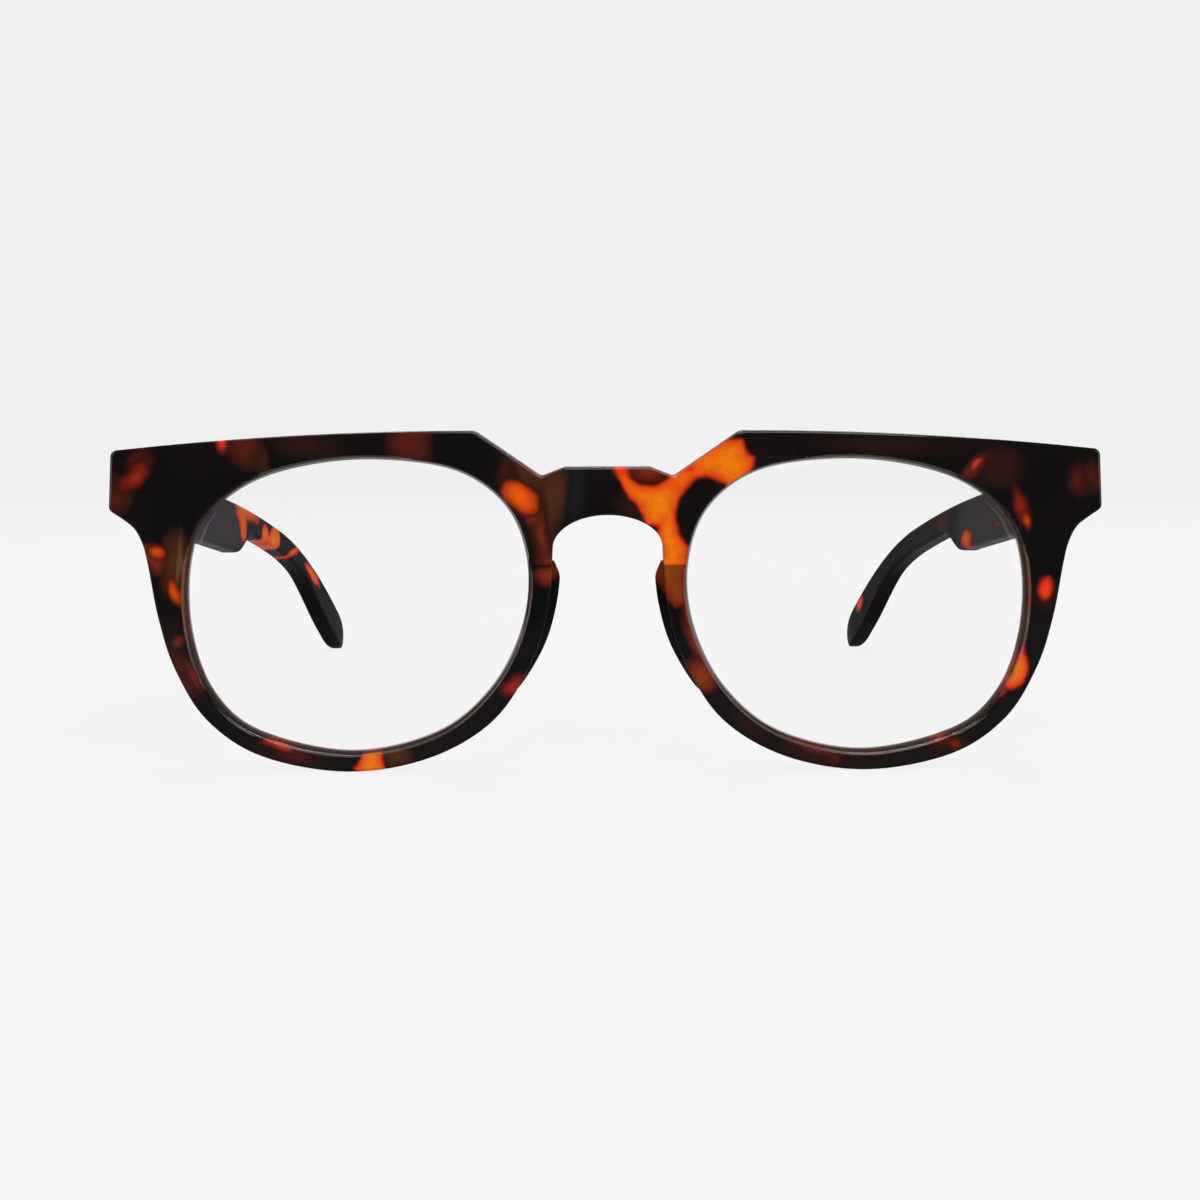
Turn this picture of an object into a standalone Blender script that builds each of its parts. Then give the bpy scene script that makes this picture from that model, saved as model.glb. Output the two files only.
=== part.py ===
"""Full-rim reading glasses of tortoiseshell acetate, with a keyhole bridge.

The front stands upright on the bottoms of its rims and the temples slope down behind it
to their tips. X runs from the wearer's right to the wearer's left, Y from the front back
along the temples, Z up. Solids are drawn with Y counted from the bridge's face, and each
finished object is then moved forward, so that the origin lies on the plane of symmetry, under
the middle of the glasses' depth, at the height of their lowest points. All lengths are in
metres.
"""

import math

import bmesh
import bpy
from mathutils import Matrix, Vector

# Lens openings and the rim around them
LENS_WIDTH = 0.0491
LENS_HEIGHT = 0.0420
BRIDGE_GAP = 0.0217
RIM_BOTTOM = 0.0024
RIM_TOP = 0.0037
RIM_SIDE = 0.0047
FRONT_THICKNESS = 0.0042
WRAP_RADIUS = 0.400
EDGE_ROUND = 0.0006
OPENING_ROUND = 0.00035
GROOVE_DEPTH = 0.0009
GROOVE_WIDTH = 0.0019
LENS_OUTLINE_SHARES = (
    (-0.15, 1.0), (0.28, 0.96), (0.64, 0.825), (0.90, 0.567), (0.996, 0.22),
    (0.985, -0.22), (0.863, -0.605), (0.60, -0.867), (0.055, -1.0), (-0.45, -0.867),
    (-0.77, -0.567), (-0.955, -0.16), (-1.0, 0.267), (-0.89, 0.662), (-0.60, 0.92),
)
LENS_STEPS = 4

# Bridge, brow and end pieces
BRIDGE_DROP = 0.00505
BRIDGE_DEPTH = 0.00665
BAR_HALF = 0.0060
BAR_ROUND = 0.0010
NOTCH_INSET = 0.0016
NOTCH_DEPTH = 0.0013
NOTCH_ROUND = 0.0009
BROW_REACH = 0.0077
BROW_ROUND = 0.0022
BROW_FALL = 0.0028
BROW_STEPS = 6
KEYHOLE_STEPS = 6
END_REACH = 0.01075
END_HEIGHT = 0.0084
END_TAPER = 0.0005
END_ROUND = 0.0010
CORNER_STEPS = 3
SWEEP_STEPS = 3
END_SWEEP_SHARES = ((0.16, 0.10), (0.34, 0.24), (0.45, 0.45))
RIM_SWEEP_SHARES = (
    (1.017, 0.24), (0.972, -0.08), (0.895, -0.39), (0.74, -0.70), (0.47, -0.915),
    (0.05, -1.0), (-0.35, -0.91), (-0.662, -0.675), (-0.85, -0.308),
    (-0.926, 0.02), (-0.946, 0.355),
)
LAND_DEPTH = 0.0118
LAND_REACH = 0.0120
LAND_RAMP = 0.0035
LAND_BLEND = 0.0032
BEND_CUT_PITCH = 0.006

# Lenses
LENS_THICKNESS = 0.0018
LENS_BULGE = 0.0011
LENS_CLEARANCE = 0.0003
LENS_RING_SHARES = (0.8, 0.55, 0.28)

# Nose pads
PAD_TOP_SHARE = 0.27
PAD_LOW_SHARE = -0.53
PAD_PROUD = 0.0012
PAD_COVER = 0.0024
PAD_DEPTH = 0.0036
PAD_SPLAY = 0.0012
PAD_ROUND = 0.0007
PAD_ROUND_SHARES = ((0.0, 2.0), (0.35, 0.6), (1.0, 0.0))
PAD_START_SHARE = 0.45
PAD_RISE_SHARE = 0.19
PAD_NARROW_SHARE = 0.45
PAD_STEPS = 8
GLUE_GAP = 0.0002

# Temples
TEMPLE_THICKNESS = 0.0040
TIP_THICKNESS = 0.0032
TEMPLE_INSET = 0.0002
TEMPLE_GAP = 0.0003
TEMPLE_STEP = 0.0010
BLOCK_HEIGHT = 0.0087
BLOCK_LENGTH = 0.063
NOTCH_RAMP = 0.011
ARM_HEIGHT = 0.0043
TIP_HEIGHT = 0.0074
TIP_START = 0.106
TIP_FULL = 0.130
TIP_CLOSE = 0.0065
TEMPLE_SLOPE = math.radians(9.1)
STRAIGHT_LENGTH = 0.055
EASE_LENGTH = 0.038
EASE_RADIUS = 0.330
EAR_LENGTH = 0.047
EAR_RADIUS = 0.085
BOW_INWARD = 0.0130
BOW_POWER = 2.15
END_LEAN_LENGTH = 0.012
TEMPLE_ROUND = 0.0009
ROUND_LIMIT_SHARE = 0.45
TIP_SQUEEZE_SHARE = 0.35
TEMPLE_STATIONS = (5, 7, 5, 8)
TIP_STATIONS = 7

# Core wires inside the temples
WIRE_THICKNESS = 0.0010
WIRE_HEIGHT = 0.0020
WIRE_CLEARANCE = 0.0002
WIRE_CORNER_SHARE = 0.5
WIRE_END = 0.127
WIRE_STATIONS = 16
WIRE_START_DEPTH = 0.0042
WIRE_SETTLE = 0.060

# Hinges
KNUCKLE_RADIUS = 0.00125
KNUCKLE_HEIGHT = 0.0012
KNUCKLE_GAP = 0.00015
KNUCKLE_COUNT = 5
KNUCKLE_SIDES = 16
BORE_RADIUS = 0.00075
HINGE_CLEARANCE = 0.00015
SLOT_CLEARANCE = 0.0002
HINGE_RISE = 0.0003
LEAF_THICKNESS = 0.0010
LEAF_PROUD = 0.0002
FRONT_LEAF_LENGTH = 0.0062
TEMPLE_LEAF_LENGTH = 0.0108
TEMPLE_LEAF_THICKNESS = 0.0012
ANCHOR_WIDTH = 0.0022
ANCHOR_REACH = 0.0020
ANCHOR_HEIGHT = 0.0022
ANCHOR_INSET = 0.0012

# Hinge screws
SCREW_RADIUS = 0.00055
SCREW_HEAD_RADIUS = 0.00105
SCREW_HEAD_HEIGHT = 0.00065
SCREW_HEAD_DOME = 0.0002
SLOT_WIDTH = 0.0003
SLOT_DEPTH = 0.0003
SCREW_SIDES = 16

CUT_OVERRUN = 0.0005
MERGE_DISTANCE = 0.000005
MITRE_LIMIT = 0.5
SHARP_ANGLE = math.radians(35)

# Places worked out from the sizes
LENS_CENTRE_X = BRIDGE_GAP / 2 + LENS_WIDTH / 2
LENS_CENTRE_Z = RIM_BOTTOM + LENS_HEIGHT / 2
BROW_TOP = RIM_BOTTOM + LENS_HEIGHT + RIM_TOP
BRIDGE_TOP = BROW_TOP - BRIDGE_DROP
END_X = BRIDGE_GAP / 2 + LENS_WIDTH + END_REACH
END_TOP = BROW_TOP - BROW_FALL
END_LOW = END_TOP - END_HEIGHT
RIM_HALF_WIDTH = LENS_WIDTH / 2 + RIM_SIDE
RIM_HALF_HEIGHT = LENS_HEIGHT / 2 + RIM_BOTTOM
LAND_INNER_X = END_X - LAND_REACH
TEMPLE_OUTER_X = END_X - TEMPLE_INSET
TEMPLE_INNER_X = TEMPLE_OUTER_X - TEMPLE_THICKNESS
TEMPLE_FRONT_Y = LAND_DEPTH + TEMPLE_GAP
TEMPLE_TOP_Z = END_TOP - TEMPLE_STEP
TEMPLE_LENGTH = STRAIGHT_LENGTH + EASE_LENGTH + EAR_LENGTH
HINGE_X = TEMPLE_INNER_X - KNUCKLE_RADIUS - HINGE_CLEARANCE
HINGE_Y = LAND_DEPTH + KNUCKLE_RADIUS + HINGE_CLEARANCE
HINGE_HEIGHT = KNUCKLE_COUNT * KNUCKLE_HEIGHT + (KNUCKLE_COUNT - 1) * KNUCKLE_GAP
HINGE_LOW = (END_LOW + END_TOP) / 2 - HINGE_HEIGHT / 2 - HINGE_RISE


def clear_scene():
    """Remove whatever the file holds before the glasses are made."""
    for item in list(bpy.data.objects):
        bpy.data.objects.remove(item, do_unlink=True)


def make_material(name, color, roughness, metallic=0.0, alpha=1.0):
    """Return a Principled material of one plain finish."""
    material = bpy.data.materials.new(name)
    material.use_nodes = True
    shader = material.node_tree.nodes["Principled BSDF"]
    shader.inputs["Base Color"].default_value = (*color, 1.0)
    shader.inputs["Roughness"].default_value = roughness
    shader.inputs["Metallic"].default_value = metallic
    shader.inputs["Alpha"].default_value = alpha
    return material


def make_materials():
    """Return the finishes of the glasses by name."""
    return {
        "acetate": make_material("tortoiseshell_acetate", (0.060, 0.020, 0.012), 0.12),
        "pad": make_material("pad_acetate", (0.085, 0.028, 0.012), 0.18),
        "lens": make_material("clear_lens", (0.95, 0.97, 0.97), 0.02, alpha=0.15),
        "steel": make_material("hinge_steel", (0.62, 0.61, 0.59), 0.3, metallic=1.0),
    }


def smoothstep(value):
    """Ease a share from 0 to 1, flat at both ends."""
    share = min(max(value, 0.0), 1.0)
    return share * share * (3.0 - 2.0 * share)


def wrap_depth(x):
    """Depth by which the front's cylinder has turned back at a distance x."""
    return x * x / (2.0 * WRAP_RADIUS)


def catmull_rom(points, steps, closed):
    """Return a smooth curve through the points, with a number of steps per stretch."""
    count = len(points)
    stretches = count if closed else count - 1
    curve = []
    for index in range(stretches):
        ids = [index - 1, index, index + 1, index + 2]
        if closed:
            ids = [i % count for i in ids]
        else:
            ids = [min(max(i, 0), count - 1) for i in ids]
        p0, p1, p2, p3 = (Vector(points[i]) for i in ids)
        for step in range(steps):
            t = step / steps
            curve.append(0.5 * (2 * p1 + (p2 - p0) * t + (2 * p0 - 5 * p1 + 4 * p2 - p3) * t ** 2
                                + (3 * p1 - p0 - 3 * p2 + p3) * t ** 3))
    if not closed:
        curve.append(Vector(points[-1]))
    return curve


def corner_arc(before, corner, after, radius):
    """Return the points of an arc that rounds one corner of a polyline."""
    into = (Vector(before) - Vector(corner)).normalized()
    out = (Vector(after) - Vector(corner)).normalized()
    half = into.angle(out) / 2
    reach = radius / math.tan(half)
    centre = Vector(corner) + (into + out).normalized() * (radius / math.sin(half))
    start = Vector(corner) + into * reach - centre
    end = Vector(corner) + out * reach - centre
    points = []
    for step in range(CORNER_STEPS + 1):
        share = step / CORNER_STEPS
        points.append(centre + (start * (1 - share) + end * share).normalized() * radius)
    return points


def lens_outline():
    """Return the closed outline of the lens opening on the wearer's left."""
    knots = [(LENS_CENTRE_X + share_x * LENS_WIDTH / 2, LENS_CENTRE_Z + share_z * LENS_HEIGHT / 2)
             for share_x, share_z in LENS_OUTLINE_SHARES]
    return catmull_rom(knots, LENS_STEPS, True)


def rim_point(share_x, share_z):
    """Return a place given as shares of the rim's half width and half height."""
    return Vector((LENS_CENTRE_X + share_x * RIM_HALF_WIDTH, LENS_CENTRE_Z + share_z * RIM_HALF_HEIGHT))


def brow_and_end():
    """Return the half outline from the middle of the bridge's top to the end piece's low corner."""
    bar = (BAR_HALF, BRIDGE_TOP)
    notch = (BRIDGE_GAP / 2 - NOTCH_INSET, BRIDGE_TOP - NOTCH_DEPTH)
    brow = (BRIDGE_GAP / 2 + BROW_REACH, BROW_TOP)
    end_top = (END_X - END_TAPER, END_TOP)
    end_low = (END_X, END_LOW)
    fall = []
    for step in range(1, BROW_STEPS):
        share = step / BROW_STEPS
        fall.append(Vector((brow[0] + share * (end_top[0] - brow[0]), BROW_TOP - BROW_FALL * share ** 2)))
    middle = Vector((0.0, BRIDGE_TOP))
    sweep = Vector((END_X - END_SWEEP_SHARES[0][0] * END_REACH, END_LOW - END_SWEEP_SHARES[0][1] * END_REACH))
    outline = [middle]
    outline += corner_arc(middle, bar, notch, BAR_ROUND)
    outline += corner_arc(bar, notch, brow, NOTCH_ROUND)
    outline += corner_arc(notch, brow, fall[0], BROW_ROUND)
    outline += fall
    outline += corner_arc(fall[-1], end_top, end_low, END_ROUND)
    outline += corner_arc(end_top, end_low, sweep, END_ROUND)
    return outline


def rim_and_nose():
    """Return the half outline that sweeps from the end piece round the rim to the keyhole."""
    knots = [Vector((END_X - share_x * END_REACH, END_LOW - share_z * END_REACH))
             for share_x, share_z in END_SWEEP_SHARES]
    knots += [rim_point(share_x, share_z) for share_x, share_z in RIM_SWEEP_SHARES]
    return catmull_rom(knots, SWEEP_STEPS, False)


def keyhole_arch(side_point):
    """Return the arch of the keyhole from its widest place to the plane of symmetry."""
    half_width, low = side_point
    rise = BRIDGE_TOP - BRIDGE_DEPTH - low
    arch = []
    for step in range(1, KEYHOLE_STEPS + 1):
        angle = math.pi / 2 * step / KEYHOLE_STEPS
        arch.append(Vector((half_width * math.cos(angle), low + rise * math.sin(angle))))
    arch[-1].x = 0.0
    return arch


def front_outline():
    """Return the closed outer outline of the front."""
    half = brow_and_end() + rim_and_nose()
    half += keyhole_arch(half[-1])
    mirrored = [Vector((-point.x, point.y)) for point in reversed(half[1:-1])]
    return half + mirrored


def offset_loop(points, distance):
    """Return the points moved by a distance to the left of their direction of travel."""
    moved = []
    count = len(points)
    for index, point in enumerate(points):
        before = (point - points[index - 1]).normalized()
        after = (points[(index + 1) % count] - point).normalized()
        normal = Vector((-before.y - after.y, before.x + after.x)).normalized()
        spread = max(normal.dot(Vector((-after.y, after.x))), MITRE_LIMIT)
        moved.append(point + normal * (distance / spread))
    return moved


def signed_area(points):
    """Return twice the area of a loop, positive if it runs anticlockwise."""
    total = 0.0
    for index, point in enumerate(points):
        following = points[(index + 1) % len(points)]
        total += point.x * following.y - following.x * point.y
    return total


def anticlockwise(points):
    """Return the loop in anticlockwise order."""
    return points if signed_area(points) > 0 else list(reversed(points))


def add_wall(mesh, loop, levels):
    """Add a wall that follows a loop of (x, z) points through levels of (inset, depth).

    A positive inset lies to the left of the loop. Returns the first and the last ring of vertices.
    """
    rings = []
    for inset, depth in levels:
        ring = [mesh.verts.new((point.x, depth, point.y)) for point in offset_loop(loop, inset)]
        rings.append(ring)
    for lower, upper in zip(rings, rings[1:]):
        for index in range(len(lower)):
            following = (index + 1) % len(lower)
            mesh.faces.new((lower[index], lower[following], upper[following], upper[index]))
    return rings[0], rings[-1]


def ring_edges(mesh, ring):
    """Return the edges that join a ring of vertices."""
    edges = []
    for index, vertex in enumerate(ring):
        following = ring[(index + 1) % len(ring)]
        edge = mesh.edges.get((vertex, following))
        edges.append(edge if edge else mesh.edges.new((vertex, following)))
    return edges


def outer_wall_levels():
    """Return the rounded profile of the front's outer edge, from its face to its back."""
    half = EDGE_ROUND * (1 - math.sqrt(0.5))
    return (
        (EDGE_ROUND, 0.0), (half, half), (0.0, EDGE_ROUND),
        (0.0, FRONT_THICKNESS - EDGE_ROUND), (half, FRONT_THICKNESS - half), (EDGE_ROUND, FRONT_THICKNESS),
    )


def opening_wall_levels():
    """Return the profile of a lens opening's wall with its groove, from face to back."""
    middle = FRONT_THICKNESS / 2
    return (
        (-OPENING_ROUND, 0.0), (0.0, OPENING_ROUND), (0.0, middle - GROOVE_WIDTH / 2),
        (-GROOVE_DEPTH, middle), (0.0, middle + GROOVE_WIDTH / 2),
        (0.0, FRONT_THICKNESS - OPENING_ROUND), (-OPENING_ROUND, FRONT_THICKNESS),
    )


def cut_across(mesh, point, normal, inner_x):
    """Divide the faces that lie beyond inner_x along a plane, without opening the solid."""
    faces = [face for face in mesh.faces if max(abs(v.co.x) for v in face.verts) > inner_x]
    edges = {edge for face in faces for edge in face.edges}
    verts = {vert for face in faces for vert in face.verts}
    bmesh.ops.bisect_plane(mesh, geom=[*verts, *edges, *faces], plane_co=point, plane_no=normal,
                           dist=MERGE_DISTANCE)


def land_share(x, z):
    """Return how far a place on the back belongs to the raised land behind an end piece."""
    across = smoothstep((abs(x) - LAND_INNER_X + LAND_RAMP) / LAND_RAMP)
    up = smoothstep((z - END_LOW + LAND_BLEND) / LAND_BLEND)
    return across * up


def bend_front(mesh):
    """Wrap the flat front round its cylinder and raise the lands for the hinges."""
    for vertex in mesh.verts:
        x, y, z = vertex.co
        wrap = wrap_depth(x)
        if y > FRONT_THICKNESS / 2 + GROOVE_WIDTH / 2:
            y += land_share(x, z) * (LAND_DEPTH - wrap - FRONT_THICKNESS)
        vertex.co.y = y + wrap


def footprint_centre():
    """Return the place under the middle of the glasses' depth that becomes the origin."""
    farthest = max(place.y for distance in temple_distances() for place in temple_section(distance))
    return Vector((0.0, farthest / 2, 0.0))


def finish_mesh(mesh, name, material, side=1, origin=None):
    """Turn a bmesh into a named object on one side of the glasses, shaded smooth.

    The solid is drawn on the wearer's left; side -1 mirrors it. The object's own origin is the
    place given, or the origin of the glasses.
    """
    centre = footprint_centre()
    place = origin if origin else centre
    bmesh.ops.triangulate(mesh, faces=mesh.faces[:])
    if side < 0:
        bmesh.ops.scale(mesh, vec=(-1.0, 1.0, 1.0), verts=mesh.verts[:])
    bmesh.ops.recalc_face_normals(mesh, faces=mesh.faces[:])
    bmesh.ops.translate(mesh, vec=-place, verts=mesh.verts[:])
    data = bpy.data.meshes.new(name)
    mesh.to_mesh(data)
    mesh.free()
    data.shade_smooth()
    data.set_sharp_from_angle(angle=SHARP_ANGLE)
    if material:
        data.materials.append(material)
    item = bpy.data.objects.new(name, data)
    item.location = place - centre
    bpy.context.scene.collection.objects.link(item)
    return item


def add_box(mesh, low, high):
    """Add a box between two corners."""
    centre = (Vector(low) + Vector(high)) / 2
    size = Vector(high) - Vector(low)
    place = Matrix.Translation(centre) @ Matrix.Diagonal((*size, 1.0))
    bmesh.ops.create_cube(mesh, size=1.0, matrix=place)


def make_cutter(mesh, name, side, origin=None):
    """Turn a bmesh into a cutter that the build leaves out."""
    cutter = finish_mesh(mesh, name, None, side, origin)
    cutter.hide_render = True
    cutter.display_type = "WIRE"
    return cutter


def add_boolean(item, tool, operation):
    """Cut or join an object with another one."""
    modifier = item.modifiers.new(f"{operation.lower()}_{tool.name}", "BOOLEAN")
    modifier.operation = operation
    modifier.solver = "EXACT"
    modifier.object = tool


def side_name(side):
    """Return the wearer's side for a sign of X."""
    return "left" if side > 0 else "right"


def front_leaf_pocket(side):
    """Return the cutter that sinks the front's hinge leaf and its anchor into the land."""
    mesh = bmesh.new()
    gap = HINGE_CLEARANCE
    floor = LAND_DEPTH + LEAF_PROUD - LEAF_THICKNESS
    add_box(mesh, (HINGE_X - FRONT_LEAF_LENGTH - gap, floor - gap, HINGE_LOW - gap),
            (HINGE_X + gap, LAND_DEPTH + CUT_OVERRUN, HINGE_LOW + HINGE_HEIGHT + gap))
    pocket = make_cutter(mesh, f"leaf_pocket_{side_name(side)}", side)
    mesh = bmesh.new()
    add_front_anchor(mesh, gap)
    anchor = make_cutter(mesh, f"anchor_hole_{side_name(side)}", side)
    return pocket, anchor


def add_front_anchor(mesh, grow):
    """Add the post that holds the front's leaf in the acetate, grown for its hole."""
    low_x = HINGE_X - FRONT_LEAF_LENGTH + ANCHOR_INSET
    middle_z = HINGE_LOW + HINGE_HEIGHT / 2
    floor = LAND_DEPTH + LEAF_PROUD - LEAF_THICKNESS
    add_box(mesh, (low_x - grow, floor - ANCHOR_REACH - grow, middle_z - ANCHOR_HEIGHT / 2 - grow),
            (low_x + ANCHOR_WIDTH + grow, floor + LEAF_THICKNESS / 2, middle_z + ANCHOR_HEIGHT / 2 + grow))


def make_front(material):
    """Build the front: rims, bridge and end pieces in one piece of acetate."""
    mesh = bmesh.new()
    outer = anticlockwise(front_outline())
    left = anticlockwise(lens_outline())
    right = anticlockwise([Vector((-point.x, point.y)) for point in left])
    rings = [add_wall(mesh, outer, outer_wall_levels())]
    rings += [add_wall(mesh, loop, opening_wall_levels()) for loop in (left, right)]
    for end in (0, 1):
        edges = [edge for pair in rings for edge in ring_edges(mesh, pair[end])]
        bmesh.ops.triangle_fill(mesh, use_beauty=True, use_dissolve=False, edges=edges)
    bmesh.ops.recalc_face_normals(mesh, faces=mesh.faces[:])
    cuts = int(END_X / BEND_CUT_PITCH)
    for index in range(-cuts, cuts + 1):
        cut_across(mesh, (index * BEND_CUT_PITCH, 0.0, 0.0), (1.0, 0.0, 0.0), 0.0)
    ramp_start = LAND_INNER_X - LAND_RAMP
    for share in (0.0, 0.5, 1.0):
        for sign in (-1, 1):
            cut_across(mesh, (sign * (ramp_start + share * LAND_RAMP), 0.0, 0.0), (1.0, 0.0, 0.0), ramp_start)
        cut_across(mesh, (0.0, 0.0, END_LOW - share * LAND_BLEND), (0.0, 0.0, 1.0), ramp_start)
    bmesh.ops.triangulate(mesh, faces=mesh.faces[:])
    bend_front(mesh)
    front = finish_mesh(mesh, "front_frame", material)
    for side in (1, -1):
        for cutter in front_leaf_pocket(side):
            add_boolean(front, cutter, "DIFFERENCE")
    return front


def make_lens(side, material):
    """Build one lens with the bevelled edge that sits in the rim's groove."""
    outline = anticlockwise(lens_outline())
    middle = FRONT_THICKNESS / 2
    half = LENS_THICKNESS / 2
    ridge = GROOVE_DEPTH - LENS_CLEARANCE
    ridge_half = GROOVE_WIDTH / 2 - LENS_CLEARANCE
    body = LENS_CLEARANCE
    levels = ((body, middle - half), (body, middle - ridge_half), (-ridge, middle),
              (body, middle + ridge_half), (body, middle + half))
    mesh = bmesh.new()
    first, last = add_wall(mesh, outline, levels)
    centre = sum(outline, Vector((0.0, 0.0))) / len(outline)
    for ring, depth in ((first, middle - half), (last, middle + half)):
        previous = ring
        for share in LENS_RING_SHARES:
            bulge = LENS_BULGE * (1 - share ** 2)
            points = [centre + (Vector((v.co.x, v.co.z)) - centre) * share for v in ring]
            inner = [mesh.verts.new((p.x, depth - bulge, p.y)) for p in points]
            for index in range(len(ring)):
                following = (index + 1) % len(ring)
                mesh.faces.new((previous[index], previous[following], inner[following], inner[index]))
            previous = inner
        pole = mesh.verts.new((centre.x, depth - LENS_BULGE, centre.y))
        for index in range(len(ring)):
            mesh.faces.new((previous[index], previous[(index + 1) % len(ring)], pole))
    for vertex in mesh.verts:
        vertex.co.y += wrap_depth(vertex.co.x)
    return finish_mesh(mesh, f"lens_{side_name(side)}", material, side)


def nose_edge():
    """Return the front's edge beside the nose, from the pad's top to its low end."""
    edge = catmull_rom([rim_point(*shares) for shares in RIM_SWEEP_SHARES], PAD_STEPS, False)
    top = LENS_CENTRE_Z + PAD_TOP_SHARE * RIM_HALF_HEIGHT
    low = LENS_CENTRE_Z + PAD_LOW_SHARE * RIM_HALF_HEIGHT
    nasal = sorted((p for p in edge if p.x < LENS_CENTRE_X - LENS_WIDTH / 4), key=lambda p: -p.y)
    points = []
    for step in range(PAD_STEPS + 1):
        z = top + (low - top) * step / PAD_STEPS
        for upper, lower in zip(nasal, nasal[1:]):
            if lower.y <= z <= upper.y:
                share = (upper.y - z) / (upper.y - lower.y)
                points.append(upper.lerp(lower, share))
                break
    return points


def pad_outline():
    """Return the outline of a nose pad, seen from the front."""
    edge = nose_edge()
    count = len(edge) - 1
    inner = []
    outer = []
    for index, point in enumerate(edge):
        share = index / count
        risen = smoothstep(share / PAD_RISE_SHARE + PAD_START_SHARE)
        proud = PAD_PROUD * math.sqrt(max(1 - share ** 2, 0.0)) * risen
        cover = PAD_COVER * (1 - PAD_NARROW_SHARE * share)
        inner.append(Vector((point.x - proud, point.y)))
        outer.append(Vector((point.x + cover, point.y)))
    return inner + list(reversed(outer))


def make_pad(side, material):
    """Build one nose pad, glued to the back of the front beside the keyhole."""
    outline = anticlockwise(pad_outline())
    start = FRONT_THICKNESS + GLUE_GAP
    levels = [(0.0, start)]
    for inset_share, left_share in PAD_ROUND_SHARES:
        levels.append((PAD_ROUND * inset_share, start + PAD_DEPTH - PAD_ROUND * left_share))
    mesh = bmesh.new()
    first, last = add_wall(mesh, outline, levels)
    mesh.faces.new(first)
    mesh.faces.new(last)
    for vertex in mesh.verts:
        share = (vertex.co.y - start) / PAD_DEPTH
        vertex.co.y += wrap_depth(vertex.co.x)
        vertex.co.x += PAD_SPLAY * share
    return finish_mesh(mesh, f"nose_pad_{side_name(side)}", material, side)


def temple_top(distance):
    """Return the place (y, z) and the slope of the temple's top edge at a distance from its end."""
    y, z, slope = TEMPLE_FRONT_Y, TEMPLE_TOP_Z, TEMPLE_SLOPE
    straight = min(distance, STRAIGHT_LENGTH)
    y += straight * math.cos(slope)
    z -= straight * math.sin(slope)
    left = distance - straight
    for length, radius in ((EASE_LENGTH, EASE_RADIUS), (EAR_LENGTH, EAR_RADIUS)):
        arc = min(max(left, 0.0), length)
        turned = slope + arc / radius
        y += radius * (math.sin(turned) - math.sin(slope))
        z += radius * (math.cos(turned) - math.cos(slope))
        slope = turned
        left -= arc
    return y, z, slope


def temple_height(distance):
    """Return the temple's height, before its tip is rounded off."""
    height = BLOCK_HEIGHT + (ARM_HEIGHT - BLOCK_HEIGHT) * smoothstep((distance - BLOCK_LENGTH) / NOTCH_RAMP)
    height += (TIP_HEIGHT - ARM_HEIGHT) * smoothstep((distance - TIP_START) / (TIP_FULL - TIP_START))
    return height


def temple_lean(distance):
    """Return the lean of the temple's cross-section, upright at the butt face."""
    return temple_top(distance)[2] * smoothstep(distance / END_LEAN_LENGTH)


def temple_inner_x(distance):
    """Return the X of the temple's inner face, which bows in towards the tip."""
    return TEMPLE_INNER_X - BOW_INWARD * (distance / TEMPLE_LENGTH) ** BOW_POWER


def temple_place(distance, down, across):
    """Return a world place inside the temple.

    The place lies a distance along the top edge, a length down from it, and a length
    outward from the inner face.
    """
    y, z, _ = temple_top(distance)
    lean = temple_lean(distance)
    return Vector((temple_inner_x(distance) + across, y - down * math.sin(lean), z - down * math.cos(lean)))


def temple_distances():
    """Return the distances of the cross-sections, closer together at the notch and the tip."""
    close_start = TEMPLE_LENGTH - TIP_CLOSE
    marks = (0.0, BLOCK_LENGTH, BLOCK_LENGTH + NOTCH_RAMP, TIP_START, close_start)
    distances = []
    for start, end, count in zip(marks, marks[1:], TEMPLE_STATIONS):
        distances += [start + (end - start) * index / count for index in range(count)]
    for index in range(TIP_STATIONS):
        angle = math.pi / 2 * index / TIP_STATIONS
        distances.append(close_start + TIP_CLOSE * math.sin(angle))
    return distances


def rounded_section(low_down, high_down, thickness, radius):
    """Return a rounded rectangle as (down, across) points."""
    points = []
    corners = ((high_down - radius, thickness - radius, 0), (low_down + radius, thickness - radius, 90),
               (low_down + radius, radius, 180), (high_down - radius, radius, 270))
    for down, across, start in corners:
        for turn in (0, 45, 90):
            angle = math.radians(start + turn)
            points.append((down + radius * math.cos(angle), across + radius * math.sin(angle)))
    return points


def loft_sections(mesh, sections):
    """Join rings of places into a closed solid with flat ends."""
    rings = [[mesh.verts.new(place) for place in section] for section in sections]
    for lower, upper in zip(rings, rings[1:]):
        for index in range(len(lower)):
            following = (index + 1) % len(lower)
            mesh.faces.new((lower[index], lower[following], upper[following], upper[index]))
    mesh.faces.new(rings[0])
    mesh.faces.new(rings[-1])


def temple_section(distance):
    """Return the places of one cross-section of the temple."""
    share = distance / TEMPLE_LENGTH
    thickness = TEMPLE_THICKNESS + (TIP_THICKNESS - TEMPLE_THICKNESS) * share
    height = temple_height(distance)
    closing = max((distance - TEMPLE_LENGTH + TIP_CLOSE) / TIP_CLOSE, 0.0)
    kept = math.sqrt(max(1 - closing ** 2, 0.0))
    shrink = height * (1 - kept) / 2
    squeeze = thickness * TIP_SQUEEZE_SHARE * (1 - kept)
    narrowest = min(height - 2 * shrink, thickness - 2 * squeeze)
    radius = min(TEMPLE_ROUND, narrowest * ROUND_LIMIT_SHARE)
    section = rounded_section(shrink, height - shrink, thickness - 2 * squeeze, radius)
    return [temple_place(distance, down, across + squeeze) for down, across in section]


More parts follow.
